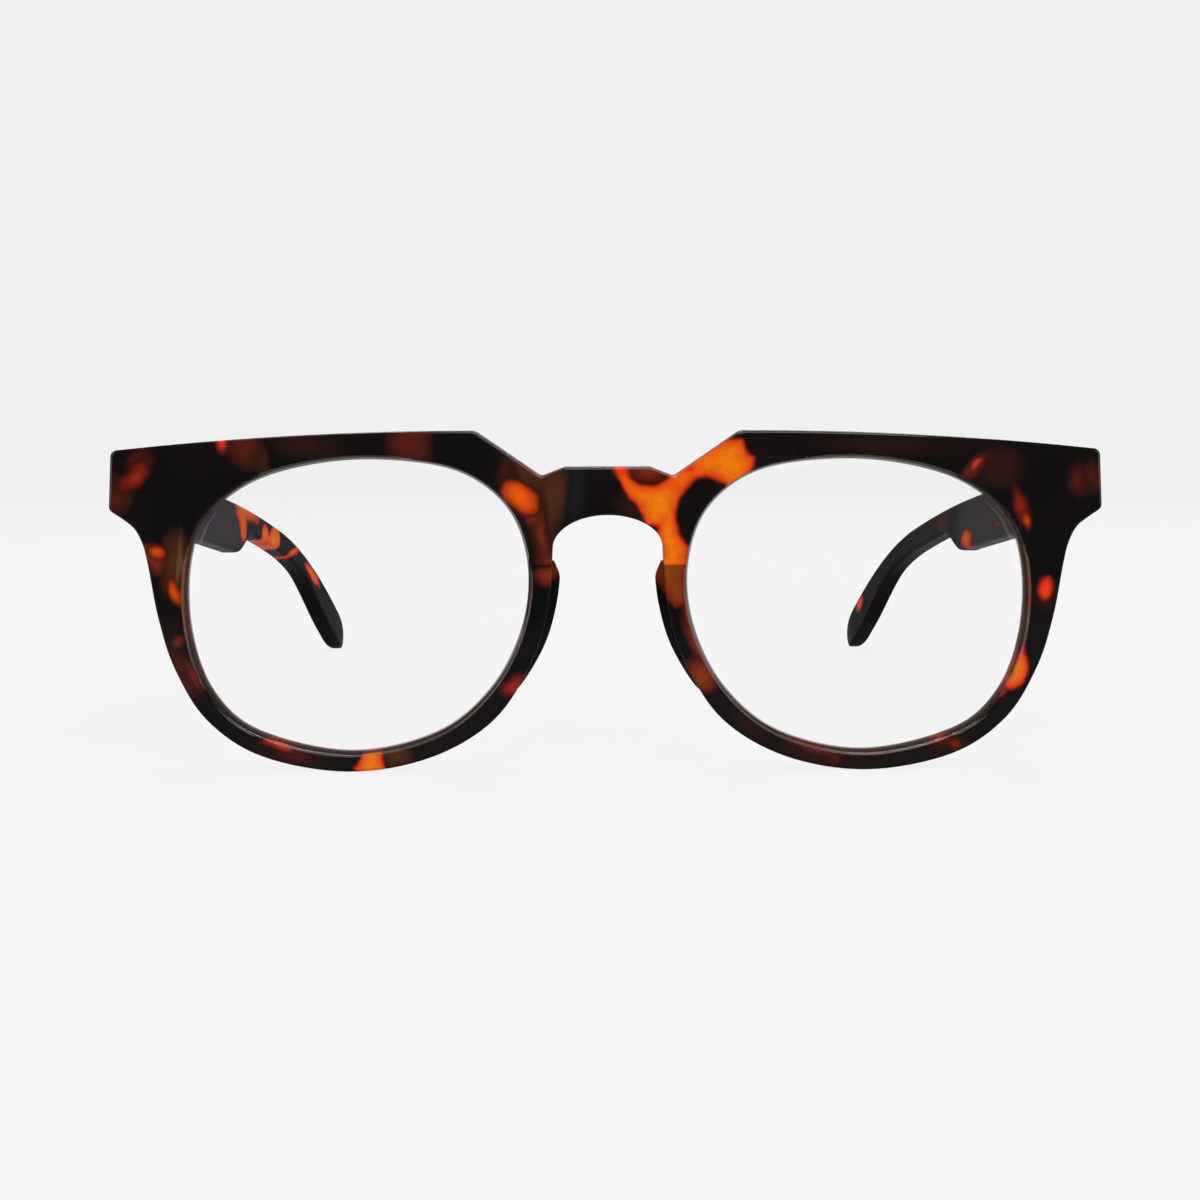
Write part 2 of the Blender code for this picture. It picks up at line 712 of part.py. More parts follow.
def wire_down(distance):
    """Return how far the core wire's middle lies below the top edge."""
    settled = temple_height(max(distance, BLOCK_LENGTH + NOTCH_RAMP)) / 2
    return WIRE_START_DEPTH + (settled - WIRE_START_DEPTH) * smoothstep(distance / WIRE_SETTLE)


def wire_sections(start, end, grow):
    """Return the cross-sections of the core wire, or of its channel where it is grown."""
    sections = []
    for index in range(WIRE_STATIONS + 1):
        distance = start + (end - start) * index / WIRE_STATIONS
        share = distance / TEMPLE_LENGTH
        middle = (TEMPLE_THICKNESS + (TIP_THICKNESS - TEMPLE_THICKNESS) * share) / 2
        down = wire_down(distance)
        half_height = WIRE_HEIGHT / 2 + grow
        half_width = WIRE_THICKNESS / 2 + grow
        corner = half_width * WIRE_CORNER_SHARE
        section = []
        for sign_down, sign_across in ((1, 1), (-1, 1), (-1, -1), (1, -1)):
            near = (sign_down * half_height, sign_across * (half_width - corner))
            far = (sign_down * (half_height - corner), sign_across * half_width)
            pair = (near, far) if sign_down * sign_across > 0 else (far, near)
            section += [temple_place(distance, down + a, middle + b) for a, b in pair]
        sections.append(section)
    return sections


def leaf_end_y():
    """Return the Y of the temple leaf's far end."""
    return HINGE_Y + TEMPLE_LEAF_LENGTH


def slope_fall(y):
    """Return how far the temple's slope has fallen between the hinge and a place y."""
    return max(y - HINGE_Y - KNUCKLE_RADIUS - SLOT_CLEARANCE, 0.0) * math.tan(TEMPLE_SLOPE)


def shear_to_slope(mesh):
    """Let what lies beyond the knuckles follow the temple's slope."""
    for vertex in mesh.verts:
        vertex.co.z -= slope_fall(vertex.co.y)


def temple_leaf_span():
    """Return the lowest and highest Z of the temple leaf at the knuckles."""
    low = HINGE_LOW + KNUCKLE_HEIGHT + KNUCKLE_GAP
    high = low + (KNUCKLE_COUNT - 2) * KNUCKLE_HEIGHT + (KNUCKLE_COUNT - 3) * KNUCKLE_GAP
    return low, high


def add_temple_anchor(mesh, grow):
    """Add the block at the far end of the temple leaf, grown for its well."""
    low, high = temple_leaf_span()
    middle = (low + high) / 2
    floor = TEMPLE_INNER_X + LEAF_THICKNESS / 2
    end = leaf_end_y() - SLOT_CLEARANCE
    add_box(mesh, (floor - LEAF_THICKNESS / 2, end - ANCHOR_WIDTH - grow, middle - ANCHOR_HEIGHT / 2 - grow),
            (floor + ANCHOR_REACH + grow, end + grow, middle + ANCHOR_HEIGHT / 2 + grow))


def wire_start():
    """Return the distance along the temple at which the core wire starts behind the leaf."""
    leaning = (WIRE_START_DEPTH + WIRE_HEIGHT / 2) * math.sin(TEMPLE_SLOPE)
    return (leaf_end_y() + SLOT_CLEARANCE - TEMPLE_FRONT_Y + leaning) / math.cos(TEMPLE_SLOPE)


def temple_cutters(side, origin):
    """Return the cutters for the leaf's pocket, the anchor's well and the wire's channel."""
    name = side_name(side)
    gap = HINGE_CLEARANCE
    low, high = temple_leaf_span()
    pocket = bmesh.new()
    add_box(pocket, (TEMPLE_INNER_X - CUT_OVERRUN, HINGE_Y + KNUCKLE_RADIUS - gap / 2, low - gap),
            (TEMPLE_INNER_X + LEAF_THICKNESS / 2 + gap, leaf_end_y() + gap, high + gap))
    shear_to_slope(pocket)
    well = bmesh.new()
    add_temple_anchor(well, gap)
    shear_to_slope(well)
    channel = bmesh.new()
    start = wire_start() - WIRE_CLEARANCE - CUT_OVERRUN
    loft_sections(channel, wire_sections(start, WIRE_END + WIRE_CLEARANCE, WIRE_CLEARANCE))
    return (make_cutter(pocket, f"temple_pocket_{name}", side, origin),
            make_cutter(well, f"anchor_well_{name}", side, origin),
            make_cutter(channel, f"wire_channel_{name}", side, origin))


def hinge_origin(side):
    """Return the lowest point of the hinge's axis on one side."""
    return Vector((side * HINGE_X, HINGE_Y, HINGE_LOW))


def make_temple(side, material):
    """Build one temple, from its butt face at the end piece to its rounded tip."""
    mesh = bmesh.new()
    loft_sections(mesh, [temple_section(distance) for distance in temple_distances()])
    origin = hinge_origin(side)
    temple = finish_mesh(mesh, f"temple_{side_name(side)}", material, side, origin)
    for cutter in temple_cutters(side, origin):
        add_boolean(temple, cutter, "DIFFERENCE")
    return temple


def make_core_wire(side, material):
    """Build the flat wire that stiffens a temple."""
    mesh = bmesh.new()
    loft_sections(mesh, wire_sections(wire_start(), WIRE_END, 0.0))
    return finish_mesh(mesh, f"core_wire_{side_name(side)}", material, side, hinge_origin(side))


def circle_points(radius, start, end, steps):
    """Return points on a circle about the hinge's axis, between two angles in degrees."""
    points = []
    for step in range(steps + 1):
        angle = math.radians(start + (end - start) * step / steps)
        points.append(Vector((HINGE_X + radius * math.cos(angle), HINGE_Y + radius * math.sin(angle))))
    return points


def extrude_profile(mesh, outline, low, high):
    """Add a prism on an (x, y) outline, with the hinge's bore through it."""
    bore = circle_points(BORE_RADIUS, 0, 360, KNUCKLE_SIDES)[:-1]
    rings = []
    for loop in (outline, bore):
        lower = [mesh.verts.new((p.x, p.y, low)) for p in loop]
        upper = [mesh.verts.new((p.x, p.y, high)) for p in loop]
        for index in range(len(loop)):
            following = (index + 1) % len(loop)
            mesh.faces.new((lower[index], lower[following], upper[following], upper[index]))
        rings.append((lower, upper))
    for end in (0, 1):
        edges = [edge for pair in rings for edge in ring_edges(mesh, pair[end])]
        bmesh.ops.triangle_fill(mesh, use_beauty=True, use_dissolve=False, edges=edges)


def knuckle_low(index):
    """Return the lowest Z of a knuckle, counted from below."""
    return HINGE_LOW + index * (KNUCKLE_HEIGHT + KNUCKLE_GAP)


def slot_cutter(indices, low, high, name, side, origin):
    """Return a cutter that clears the other leaf's knuckles out of a leaf."""
    mesh = bmesh.new()
    for index in indices:
        bottom = knuckle_low(index) - KNUCKLE_GAP
        top = knuckle_low(index) + KNUCKLE_HEIGHT + KNUCKLE_GAP
        add_box(mesh, (low[0], low[1], bottom), (high[0], high[1], top))
    return make_cutter(mesh, name, side, origin)


def make_front_hinge(side, material):
    """Build the hinge leaf in the front's land: a plate, three knuckles and an anchor."""
    top = LAND_DEPTH + LEAF_PROUD
    floor = top - LEAF_THICKNESS
    end_x = HINGE_X - FRONT_LEAF_LENGTH
    outline = [Vector((end_x, floor)), Vector((HINGE_X, floor))]
    outline += circle_points(KNUCKLE_RADIUS, -90, 180, KNUCKLE_SIDES * 3 // 4)
    outline += [Vector((HINGE_X - KNUCKLE_RADIUS, top)), Vector((end_x, top))]
    mesh = bmesh.new()
    extrude_profile(mesh, outline, HINGE_LOW, HINGE_LOW + HINGE_HEIGHT)
    name = side_name(side)
    leaf = finish_mesh(mesh, f"front_hinge_{name}", material, side)
    reach = KNUCKLE_RADIUS + SLOT_CLEARANCE
    slots = slot_cutter((1, 3), (HINGE_X - reach, floor - CUT_OVERRUN), (HINGE_X + reach, HINGE_Y + reach),
                        f"front_slots_{name}", side, None)
    add_boolean(leaf, slots, "DIFFERENCE")
    mesh = bmesh.new()
    add_front_anchor(mesh, 0.0)
    add_boolean(leaf, make_cutter(mesh, f"front_anchor_{name}", side), "UNION")
    return leaf


def make_temple_hinge(side, material):
    """Build the hinge leaf in the temple: a sloping plate, two knuckles and an anchor."""
    inner = TEMPLE_INNER_X + LEAF_THICKNESS / 2 - TEMPLE_LEAF_THICKNESS
    outer = TEMPLE_INNER_X + LEAF_THICKNESS / 2
    step = HINGE_Y + KNUCKLE_RADIUS + SLOT_CLEARANCE / 2
    touch = math.degrees(math.acos((inner - HINGE_X) / KNUCKLE_RADIUS))
    outline = [Vector((HINGE_X + KNUCKLE_RADIUS, step)), Vector((outer, step)),
               Vector((outer, leaf_end_y())), Vector((inner, leaf_end_y()))]
    outline += circle_points(KNUCKLE_RADIUS, touch, 360, KNUCKLE_SIDES - 2)
    low, high = temple_leaf_span()
    mesh = bmesh.new()
    extrude_profile(mesh, outline, low, high)
    shear_to_slope(mesh)
    name = side_name(side)
    origin = hinge_origin(side)
    leaf = finish_mesh(mesh, f"temple_hinge_{name}", material, side, origin)
    reach = KNUCKLE_RADIUS + SLOT_CLEARANCE
    slots = slot_cutter((2,), (HINGE_X - reach, HINGE_Y - reach), (outer + CUT_OVERRUN, HINGE_Y + reach),
                        f"temple_slots_{name}", side, origin)
    add_boolean(leaf, slots, "DIFFERENCE")
    mesh = bmesh.new()
    add_temple_anchor(mesh, 0.0)
    shear_to_slope(mesh)
    add_boolean(leaf, make_cutter(mesh, f"temple_anchor_{name}", side, origin), "UNION")
    return leaf


def make_screw(side, material):
    """Build the slotted screw on which one hinge turns."""
    seat = HINGE_LOW + HINGE_HEIGHT + KNUCKLE_GAP
    profile = ((0.0, HINGE_LOW), (SCREW_RADIUS, HINGE_LOW), (SCREW_RADIUS, seat), (SCREW_HEAD_RADIUS, seat),
               (SCREW_HEAD_RADIUS, seat + SCREW_HEAD_HEIGHT - SCREW_HEAD_DOME),
               (SCREW_HEAD_RADIUS - SCREW_HEAD_DOME, seat + SCREW_HEAD_HEIGHT),
               (0.0, seat + SCREW_HEAD_HEIGHT))
    mesh = bmesh.new()
    chain = [mesh.verts.new((HINGE_X + radius, HINGE_Y, z)) for radius, z in profile]
    edges = [mesh.edges.new(pair) for pair in zip(chain, chain[1:])]
    bmesh.ops.spin(mesh, geom=chain + edges, cent=(HINGE_X, HINGE_Y, 0.0), axis=(0.0, 0.0, 1.0),
                   angle=math.tau, steps=SCREW_SIDES, use_merge=True)
    bmesh.ops.remove_doubles(mesh, verts=mesh.verts[:], dist=MERGE_DISTANCE)
    name = side_name(side)
    screw = finish_mesh(mesh, f"hinge_screw_{name}", material, side)
    mesh = bmesh.new()
    top = seat + SCREW_HEAD_HEIGHT
    add_box(mesh, (HINGE_X - SCREW_HEAD_RADIUS - CUT_OVERRUN, HINGE_Y - SLOT_WIDTH / 2, top - SLOT_DEPTH),
            (HINGE_X + SCREW_HEAD_RADIUS + CUT_OVERRUN, HINGE_Y + SLOT_WIDTH / 2, top + CUT_OVERRUN))
    add_boolean(screw, make_cutter(mesh, f"screw_slot_{name}", side), "DIFFERENCE")
    return screw


def main():
    """Build every piece of the glasses."""
    clear_scene()
    materials = make_materials()
    make_front(materials["acetate"])
    for side in (1, -1):
        make_lens(side, materials["lens"])
        make_pad(side, materials["pad"])
        make_temple(side, materials["acetate"])
        make_core_wire(side, materials["steel"])
        make_front_hinge(side, materials["steel"])
        make_temple_hinge(side, materials["steel"])
        make_screw(side, materials["steel"])


main()
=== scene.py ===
"""Full-rim tortoiseshell reading glasses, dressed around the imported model.

The front, the lenses, the nose pads and the temples are made finer here and stand for their
plain solids. The hinge leaves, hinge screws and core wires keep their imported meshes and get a
metal finish. All lengths are in metres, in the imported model's own frame: +X towards the
wearer's left, +Y from the front back along the open temples, +Z up.
"""

import logging
import math
from dataclasses import dataclass, replace
from enum import Enum
from typing import Iterable, Sequence

import bmesh
import bpy
from mathutils import Matrix, Vector


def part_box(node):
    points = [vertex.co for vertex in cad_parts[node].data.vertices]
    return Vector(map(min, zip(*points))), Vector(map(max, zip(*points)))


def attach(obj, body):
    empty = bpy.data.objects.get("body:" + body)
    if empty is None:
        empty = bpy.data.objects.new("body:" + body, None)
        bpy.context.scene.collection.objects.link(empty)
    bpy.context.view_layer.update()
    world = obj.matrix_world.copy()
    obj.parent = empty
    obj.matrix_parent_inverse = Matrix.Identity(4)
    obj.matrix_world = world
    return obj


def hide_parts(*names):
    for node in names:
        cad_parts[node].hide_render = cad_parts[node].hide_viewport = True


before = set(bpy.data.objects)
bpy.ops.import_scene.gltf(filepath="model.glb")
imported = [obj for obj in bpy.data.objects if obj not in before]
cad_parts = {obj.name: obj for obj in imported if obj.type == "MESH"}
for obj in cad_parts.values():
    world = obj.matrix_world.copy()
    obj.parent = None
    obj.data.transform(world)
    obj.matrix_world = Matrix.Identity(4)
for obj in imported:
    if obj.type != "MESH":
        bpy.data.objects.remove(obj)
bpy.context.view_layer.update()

LOG = logging.getLogger("reading_glasses")
# The marks that say where the front's openings get their painted highlight and glow.
EDGE_MARK = "opening_edge"
WALL_MARK = "opening_wall"
IMAGE_SIZE = 1200
SENSOR_WIDTH = 36.0
MM = 0.001
FACE_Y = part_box("front_frame")[0].y  # the front's outer face, at its middle
PAD_LINE = 0.0295  # the height at which the nose pads start
TINY = 0.000004  # places closer than this are one place
CURVE_STEPS = 8  # steps between two knots of a curve
WALL_TILT = 0.3  # a face whose normal has less of Y than this is a wall
SHARP_EDGE = math.radians(60)  # an edge that turns more than this gets rounded
SHARP_SHADING = math.radians(40)  # an edge that turns more than this shows as an edge

# The acetate's layers, in millimetres: the depth inside a patch at which the tones of a layer
# start, the depth over which they go on, the reach of two patches that run together, and how far
# a blurred edge may reach beyond its patch.
STOP_LOW = -1.0
STOP_SPAN = 4.0
RUN_TOGETHER = 1.2
BLUR = 2.0

Color = tuple[float, float, float]
Pair = tuple[float, float]
Socket = bpy.types.NodeSocket


class Side(Enum):
    """A side of the glasses, as the wearer sees it, with its sign of X."""

    LEFT = 1
    RIGHT = -1

    @property
    def word(self) -> str:
        """The side's word in the names of nodes and bodies."""
        return self.name.lower()


class Tone(Enum):
    """The tones that a layer of the acetate can have; three of them are painted light, as marked.
    """

    AMBER = "amber"
    EMBER = "ember"
    SCARLET = "scarlet"
    FLAME = "flame"
    RED = "red"
    RUST = "rust"
    WINE = "wine"
    UMBER = "umber"
    SMOKE = "smoke"
    OLIVE = "olive"
    # a painted highlight: a thin tan line along an opening's outer edge
    TAN = "tan"
    # a painted sheen: the bluish grey of a flat facet on the bridge
    SLATE = "slate"
    # a painted sheen: the grey-violet of the temples' inner faces at a glancing view
    HAZE = "haze"


class Plane(Enum):
    """The sheet from which a piece is cut: the patches go straight through it."""

    FRONT = "XZ"
    TEMPLE = "YZ"


def srgb(code: str) -> Color:
    """Turn a hexadecimal colour code into linear values.

    Args:
        code: Six hexadecimal digits.

    Returns:
        Red, green and blue from 0 to 1, linear.
    """
    values = [int(code[index:index + 2], 16) / 255 for index in (0, 2, 4)]
    linear = [v / 12.92 if v <= 0.04045 else ((v + 0.055) / 1.055) ** 2.4 for v in values]
    return linear[0], linear[1], linear[2]


def smoothstep(value: float) -> float:
    """Ease a share from 0 to 1, flat at both ends."""
    share = min(max(value, 0.0), 1.0)
    return share * share * (3.0 - 2.0 * share)


def smooth_curve(knots: Sequence[Vector], steps: int, closed: bool) -> list[Vector]:
    """Draw a smooth curve through knots.

    Args:
        knots: Points in a plane.
        steps: Number of steps for each stretch between knots.
        closed: Whether the curve returns to its first knot.

    Returns:
        The points of the curve.
    """
    count = len(knots)
    curve = []
    for index in range(count if closed else count - 1):
        ids = [index - 1, index, index + 1, index + 2]
        ids = [i % count if closed else min(max(i, 0), count - 1) for i in ids]
        p0, p1, p2, p3 = (Vector(knots[i]) for i in ids)
        for step in range(steps):
            t = step / steps
            curve.append(0.5 * (2 * p1 + (p2 - p0) * t + (2 * p0 - 5 * p1 + 4 * p2 - p3) * t ** 2
                                + (3 * p1 - p0 - 3 * p2 + p3) * t ** 3))
    if not closed:
        curve.append(Vector(knots[-1]))
    return curve


def corner_arc(before: Vector, corner: Vector, after: Vector, radius: float,
               steps: int) -> list[Vector]:
    """Round one corner of a polyline.

    Args:
        before: The point before the corner.
        corner: The sharp corner.
        after: The point after the corner.
        radius: The arc's radius.
        steps: Number of steps along the arc.

    Returns:
        The points of the arc.
    """
    into = (before - corner).normalized()
    out = (after - corner).normalized()
    half = into.angle(out) / 2
    reach = radius / math.tan(half)
    centre = corner + (into + out).normalized() * (radius / math.sin(half))
    start = corner + into * reach - centre
    end = corner + out * reach - centre
    return [centre + (start * (1 - i / steps) + end * (i / steps)).normalized() * radius
            for i in range(steps + 1)]


def cut_across(mesh: bmesh.types.BMesh, axis: str, place: float,
               faces: Iterable[bmesh.types.BMFace] | None = None) -> None:
    """Divide faces along a plane across an axis, without opening the shape.

    Args:
        mesh: The mesh.
        axis: The axis that the plane crosses: X, Y or Z.
        place: Where it crosses the axis.
        faces: The faces to divide, or None for all.
    """
    normal = Vector([float(axis == name) for name in "XYZ"])
    point = normal * place
    chosen = list(mesh.faces if faces is None else faces)
    edges = {edge for face in chosen for edge in face.edges}
    verts = {vert for face in chosen for vert in face.verts}
    bmesh.ops.bisect_plane(mesh, geom=[*verts, *edges, *chosen], plane_co=point, plane_no=normal,
                           dist=TINY)


def thicken(mesh: bmesh.types.BMesh, depth: Vector) -> None:
    """Extrude a flat sheet into a closed plate.

    Args:
        mesh: The mesh, which holds only the sheet.
        depth: How far and which way the second face lies from the first.
    """
    made = bmesh.ops.extrude_face_region(mesh, geom=mesh.faces[:], use_keep_orig=True)
    moved = [item for item in made["geom"] if isinstance(item, bmesh.types.BMVert)]
    bmesh.ops.translate(mesh, vec=depth, verts=moved)
    bmesh.ops.recalc_face_normals(mesh, faces=mesh.faces[:])


def round_edges(mesh: bmesh.types.BMesh, edges: Sequence[bmesh.types.BMEdge], radius: float,
                segments: int) -> None:
    """Round edges of a mesh.

    Args:
        mesh: The mesh.
        edges: The edges to round.
        radius: The width that is taken off each face.
        segments: The number of strips of the rounding.
    """
    bmesh.ops.bevel(mesh, geom=list(edges), offset=radius, offset_type="OFFSET", segments=segments,
                    profile=0.5, affect="EDGES", clamp_overlap=False, material=-1, loop_slide=True)


def mirror_to(mesh: bmesh.types.BMesh, side: Side) -> None:
    """Mirror a mesh that was shaped for the wearer's left, if its side is the right."""
    if side is Side.RIGHT:
        bmesh.ops.scale(mesh, vec=(-1.0, 1.0, 1.0), verts=mesh.verts[:])


def make_piece(mesh: bmesh.types.BMesh, name: str, body: str,
               materials: Sequence[bpy.types.Material], node: str) -> bpy.types.Object:
    """Turn a bmesh into a piece that rides on a body and stands for a node.

    Args:
        mesh: The mesh, which is freed.
        name: The piece's name.
        body: The body that it rides on.
        materials: The finishes, by the faces' material numbers.
        node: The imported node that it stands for.

    Returns:
        The new object.
    """
    bmesh.ops.recalc_face_normals(mesh, faces=mesh.faces[:])
    data = bpy.data.meshes.new(name)
    mesh.to_mesh(data)
    mesh.free()
    data.shade_smooth()
    data.set_sharp_from_angle(angle=SHARP_SHADING)
    for material in materials:
        data.materials.append(material)
    item = bpy.data.objects.new(name, data)
    bpy.context.scene.collection.objects.link(item)
    weighted = item.modifiers.new("even_gloss", "WEIGHTED_NORMAL")
    weighted.mode = "FACE_AREA"
    weighted.weight = 90
    weighted.keep_sharp = True
    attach(item, body)
    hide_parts(node)
    return item


class Board:
    """The node tree of one material or world, with short ways to add and join nodes."""

    def __init__(self, owner: bpy.types.Material | bpy.types.World) -> None:
        """Start with an empty tree.

        Args:
            owner: The material or world.
        """
        self.owner = owner
        self.owner.use_nodes = True
        self.tree = self.owner.node_tree
        self.tree.nodes.clear()

    def add(self, kind: str, **inputs: object) -> bpy.types.Node:
        """Add a node.

        Args:
            kind: The node's type.
            **inputs: Values or sockets by input name, with _ for a space; i0, i1 and so on
                stand for inputs by number.

        Returns:
            The node.
        """
        node = self.tree.nodes.new(kind)
        for key, value in inputs.items():
            number = key[1:]
            by_number = key[0] == "i" and number.isdigit()
            socket = node.inputs[int(number) if by_number else key.replace("_", " ")]
            if isinstance(value, Socket):
                self.tree.links.new(value, socket)
            else:
                socket.default_value = value
        return node

    def place(self) -> Socket:
        """Return the place on the piece, in metres."""
        return self.add("ShaderNodeTexCoord").outputs["Object"]

    def value(self, operation: str, *terms: object) -> Socket:
        """Calculate a value.

        Args:
            operation: The Math node's operation.
            *terms: Its values or sockets, in order.

        Returns:
            The result.
        """
        node = self.add("ShaderNodeMath", **{f"i{index}": term for index, term in enumerate(terms)})
        node.operation = operation
        return node.outputs[0]

    def vector(self, operation: str, first: object, second: object) -> Socket:
        """Calculate a vector.

        Args:
            operation: The Vector Math node's operation.
            first: Its first vector or socket.
            second: Its second vector or socket.

        Returns:
            The result.
        """
        node = self.add("ShaderNodeVectorMath", i0=first, i1=second)
        node.operation = operation
        return node.outputs[0]

    def spread(self, value: object, source: Pair = (0.0, 1.0), target: Pair = (0.0, 1.0)) -> Socket:
        """Turn one range of a value into another, held at both ends.

        Args:
            value: The value or socket.
            source: The range that it has.
            target: The range that it gets.

        Returns:
            The value in its new range.
        """
        return self.add("ShaderNodeMapRange", Value=value, From_Min=source[0], From_Max=source[1],
                        To_Min=target[0], To_Max=target[1]).outputs[0]

    def mix(self, share: object, below: object, above: object, blend: str = "MIX") -> Socket:
        """Mix two colours.

        Args:
            share: How much of the upper colour shows.
            below: The lower colour.
            above: The upper colour.
            blend: The blend type.

        Returns:
            The mixed colour.
        """
        node = self.tree.nodes.new("ShaderNodeMix")
        node.data_type = "RGBA"
        node.blend_type = blend
        for index, value in ((0, share), (6, below), (7, above)):
            if isinstance(value, Socket):
                self.tree.links.new(value, node.inputs[index])
            else:
                node.inputs[index].default_value = value if index == 0 else (*value, 1.0)
        return node.outputs[2]

    def ramp(self, value: Socket, stops: Sequence[tuple[float, Color, float]]) -> bpy.types.Node:
        """Add a colour ramp.

        Args:
            value: What it reads.
            stops: Position, colour and alpha of each stop, in rising order.

        Returns:
            The ramp's node.
        """
        node = self.add("ShaderNodeValToRGB", Fac=value)
        elements = node.color_ramp.elements
        while len(elements) < len(stops):
            elements.new(0.5)
        for element, (position, color, alpha) in zip(elements, stops):
            element.position = position
            element.color = (*color, alpha)
        return node

    def noise(self, place: Socket, size: float, detail: float, output: str = "Fac") -> Socket:
        """Return a noise whose features have a size in metres."""
        node = self.add("ShaderNodeTexNoise", Vector=place, Scale=1 / size, Detail=detail)
        return node.outputs[output]

    def bump(self, height: Socket, strength: float, distance: float) -> Socket:
        """Return the normal of a relief with a depth in metres."""
        return self.add("ShaderNodeBump", Strength=strength, Distance=distance,
                        Height=height).outputs[0]

    def finish(self, shader: bpy.types.Node) -> bpy.types.Material:
        """Join a shader to the material's output and return the material."""
        self.add("ShaderNodeOutputMaterial", Surface=shader.outputs[0])
        return self.owner


@dataclass(frozen=True)
class Patch:
    """One rounded area of a layer: its middle and half sizes in millimetres and its turn.

    The first number of a pair runs along the sheet (X on the front, Y on a temple), the second
    is the height Z. The turn is anticlockwise, in degrees. As a hole, a patch lowers the layer
    no further than its floor.
    """

    middle: Pair
    half: Pair
    turn: float = 0.0
    floor: float = -1.0

    def reaches(self, low: float, high: float) -> bool:
        """Say whether the patch or its blurred edge reaches into a stretch of the sheet."""
        spread = max(self.half) * (1 + BLUR / min(self.half))
        return self.middle[0] + spread > low and self.middle[0] - spread < high


@dataclass(frozen=True)
class Layer:
    """Patches of one tone that run together, less the holes in them."""

    tone: Tone
    patches: tuple[Patch, ...]
    holes: tuple[Patch, ...] = ()


TONE_STOPS: dict[Tone, tuple[tuple[float, str, float], ...]] = {
    Tone.AMBER: ((-0.30, "3a0a02", 0.0), (-0.05, "7a1804", 0.9), (0.20, "d23206", 1.0),
                 (0.50, "e65406", 1.0), (1.10, "ee6c07", 1.0), (1.90, "f07a0a", 1.0)),
    Tone.EMBER: ((-0.45, "2a0803", 0.0), (-0.10, "501404", 0.8), (0.30, "b43408", 1.0),
                 (0.80, "dc4e08", 1.0), (1.40, "eb5a0a", 1.0)),
    Tone.SCARLET: ((-0.50, "2a0604", 0.0), (0.0, "8c1c0a", 0.8), (0.40, "d0300c", 1.0),
                   (0.90, "e4380f", 1.0)),
    Tone.FLAME: ((-0.90, "e84208", 0.0), (0.50, "de2c08", 0.95)),
    Tone.RED: ((-0.60, "200604", 0.0), (-0.10, "3c0a04", 0.8), (0.40, "6c1606", 1.0),
               (1.0, "92240e", 1.0)),
    Tone.RUST: ((-0.50, "1a0604", 0.0), (0.0, "46140a", 0.85), (0.60, "6c2408", 1.0),
                (1.40, "80300c", 1.0)),
    Tone.UMBER: ((-0.70, "140604", 0.0), (0.0, "2c0e04", 0.8), (0.80, "421406", 1.0),
                 (1.80, "501a06", 1.0)),
    Tone.WINE: ((-0.80, "140404", 0.0), (0.0, "300a06", 0.8), (0.80, "4e1008", 1.0),
                (1.60, "5c150a", 1.0)),
    Tone.SMOKE: ((-1.0, "0a0404", 0.0), (0.0, "1a0a06", 0.8), (1.50, "2a0f08", 1.0)),
    Tone.OLIVE: ((-0.60, "160a04", 0.0), (0.0, "30180a", 0.8), (0.80, "45200e", 1.0),
                 (1.80, "4e2814", 1.0)),
    Tone.TAN: ((-0.30, "20100a", 0.0), (0.10, "5c3a20", 1.0), (0.50, "6e4a2c", 1.0)),
    Tone.SLATE: ((-0.50, "100c0c", 0.0), (0.40, "121215", 1.0), (1.0, "16171b", 1.0)),
    Tone.HAZE: ((-0.80, "0c0a0c", 0.0), (0.60, "29252a", 1.0), (2.0, "312c33", 1.0)),
}


@dataclass(frozen=True)
class Area:
    """A stretch of the sheet along X, in millimetres, with a material of its own.

    One material can't hold all the front's patches, and it is slower with each one.
    """

    name: str
    low: float
    high: float


FRONT_AREAS = (Area("right", -80.0, -21.0), Area("bridge", -21.0, 21.0), Area("left", 21.0, 80.0))


@dataclass(frozen=True)
class TortoiseshellFinish:
    """Polished acetate: a near-black brown sheet with warm patches that go straight through it.

    Only the front has a pad line, a shade below it and a glow in its openings. Their pairs of X
    and Z say where they fade in. The warps are the sizes and reaches of the patches' waves.
    """

    name: str
    plane: Plane
    layers: tuple[Layer, ...]
    pad_line: float | None = None
    pad_blur: float = 0.0001
    pad_low: Pair = (0.020, 0.023)
    pad_side: Pair = (0.0145, 0.0135)
    pad_shade: Color = (0.25, 0.27, 0.80)
    # The openings' painted highlight on their rounded edges and painted glow on their walls.
    edge_color: str = "7a6a66"
    edge_light: float = 0.38
    wall_color: str = "8a522e"
    wall_glow: float = 0.8
    wall_side: Pair = (0.0555, 0.0585)
    wall_low: Pair = (0.017, 0.022)
    wall_high: Pair = (0.038, 0.033)
    warps: tuple[Pair, ...] = ((0.0075, 0.00045), (0.0022, 0.00018))
    roughness: float = 0.09
    specular: float = 0.4
    index: float = 1.49

    def material(self) -> bpy.types.Material:
        """Build the material."""
        return AcetateBoard(self).polish()

    def within(self, area: Area) -> "TortoiseshellFinish":
        """Keep only the patches that reach into an area.

        Args:
            area: The area.

        Returns:
            The finish of the area, named for it.
        """
        layers = []
        for layer in self.layers:
            patches, holes = (tuple(item for item in items if item.reaches(area.low, area.high))
                              for items in (layer.patches, layer.holes))
            if patches:
                layers.append(Layer(layer.tone, patches, holes))
        return replace(self, name=f"{self.name}_{area.name}", layers=tuple(layers))


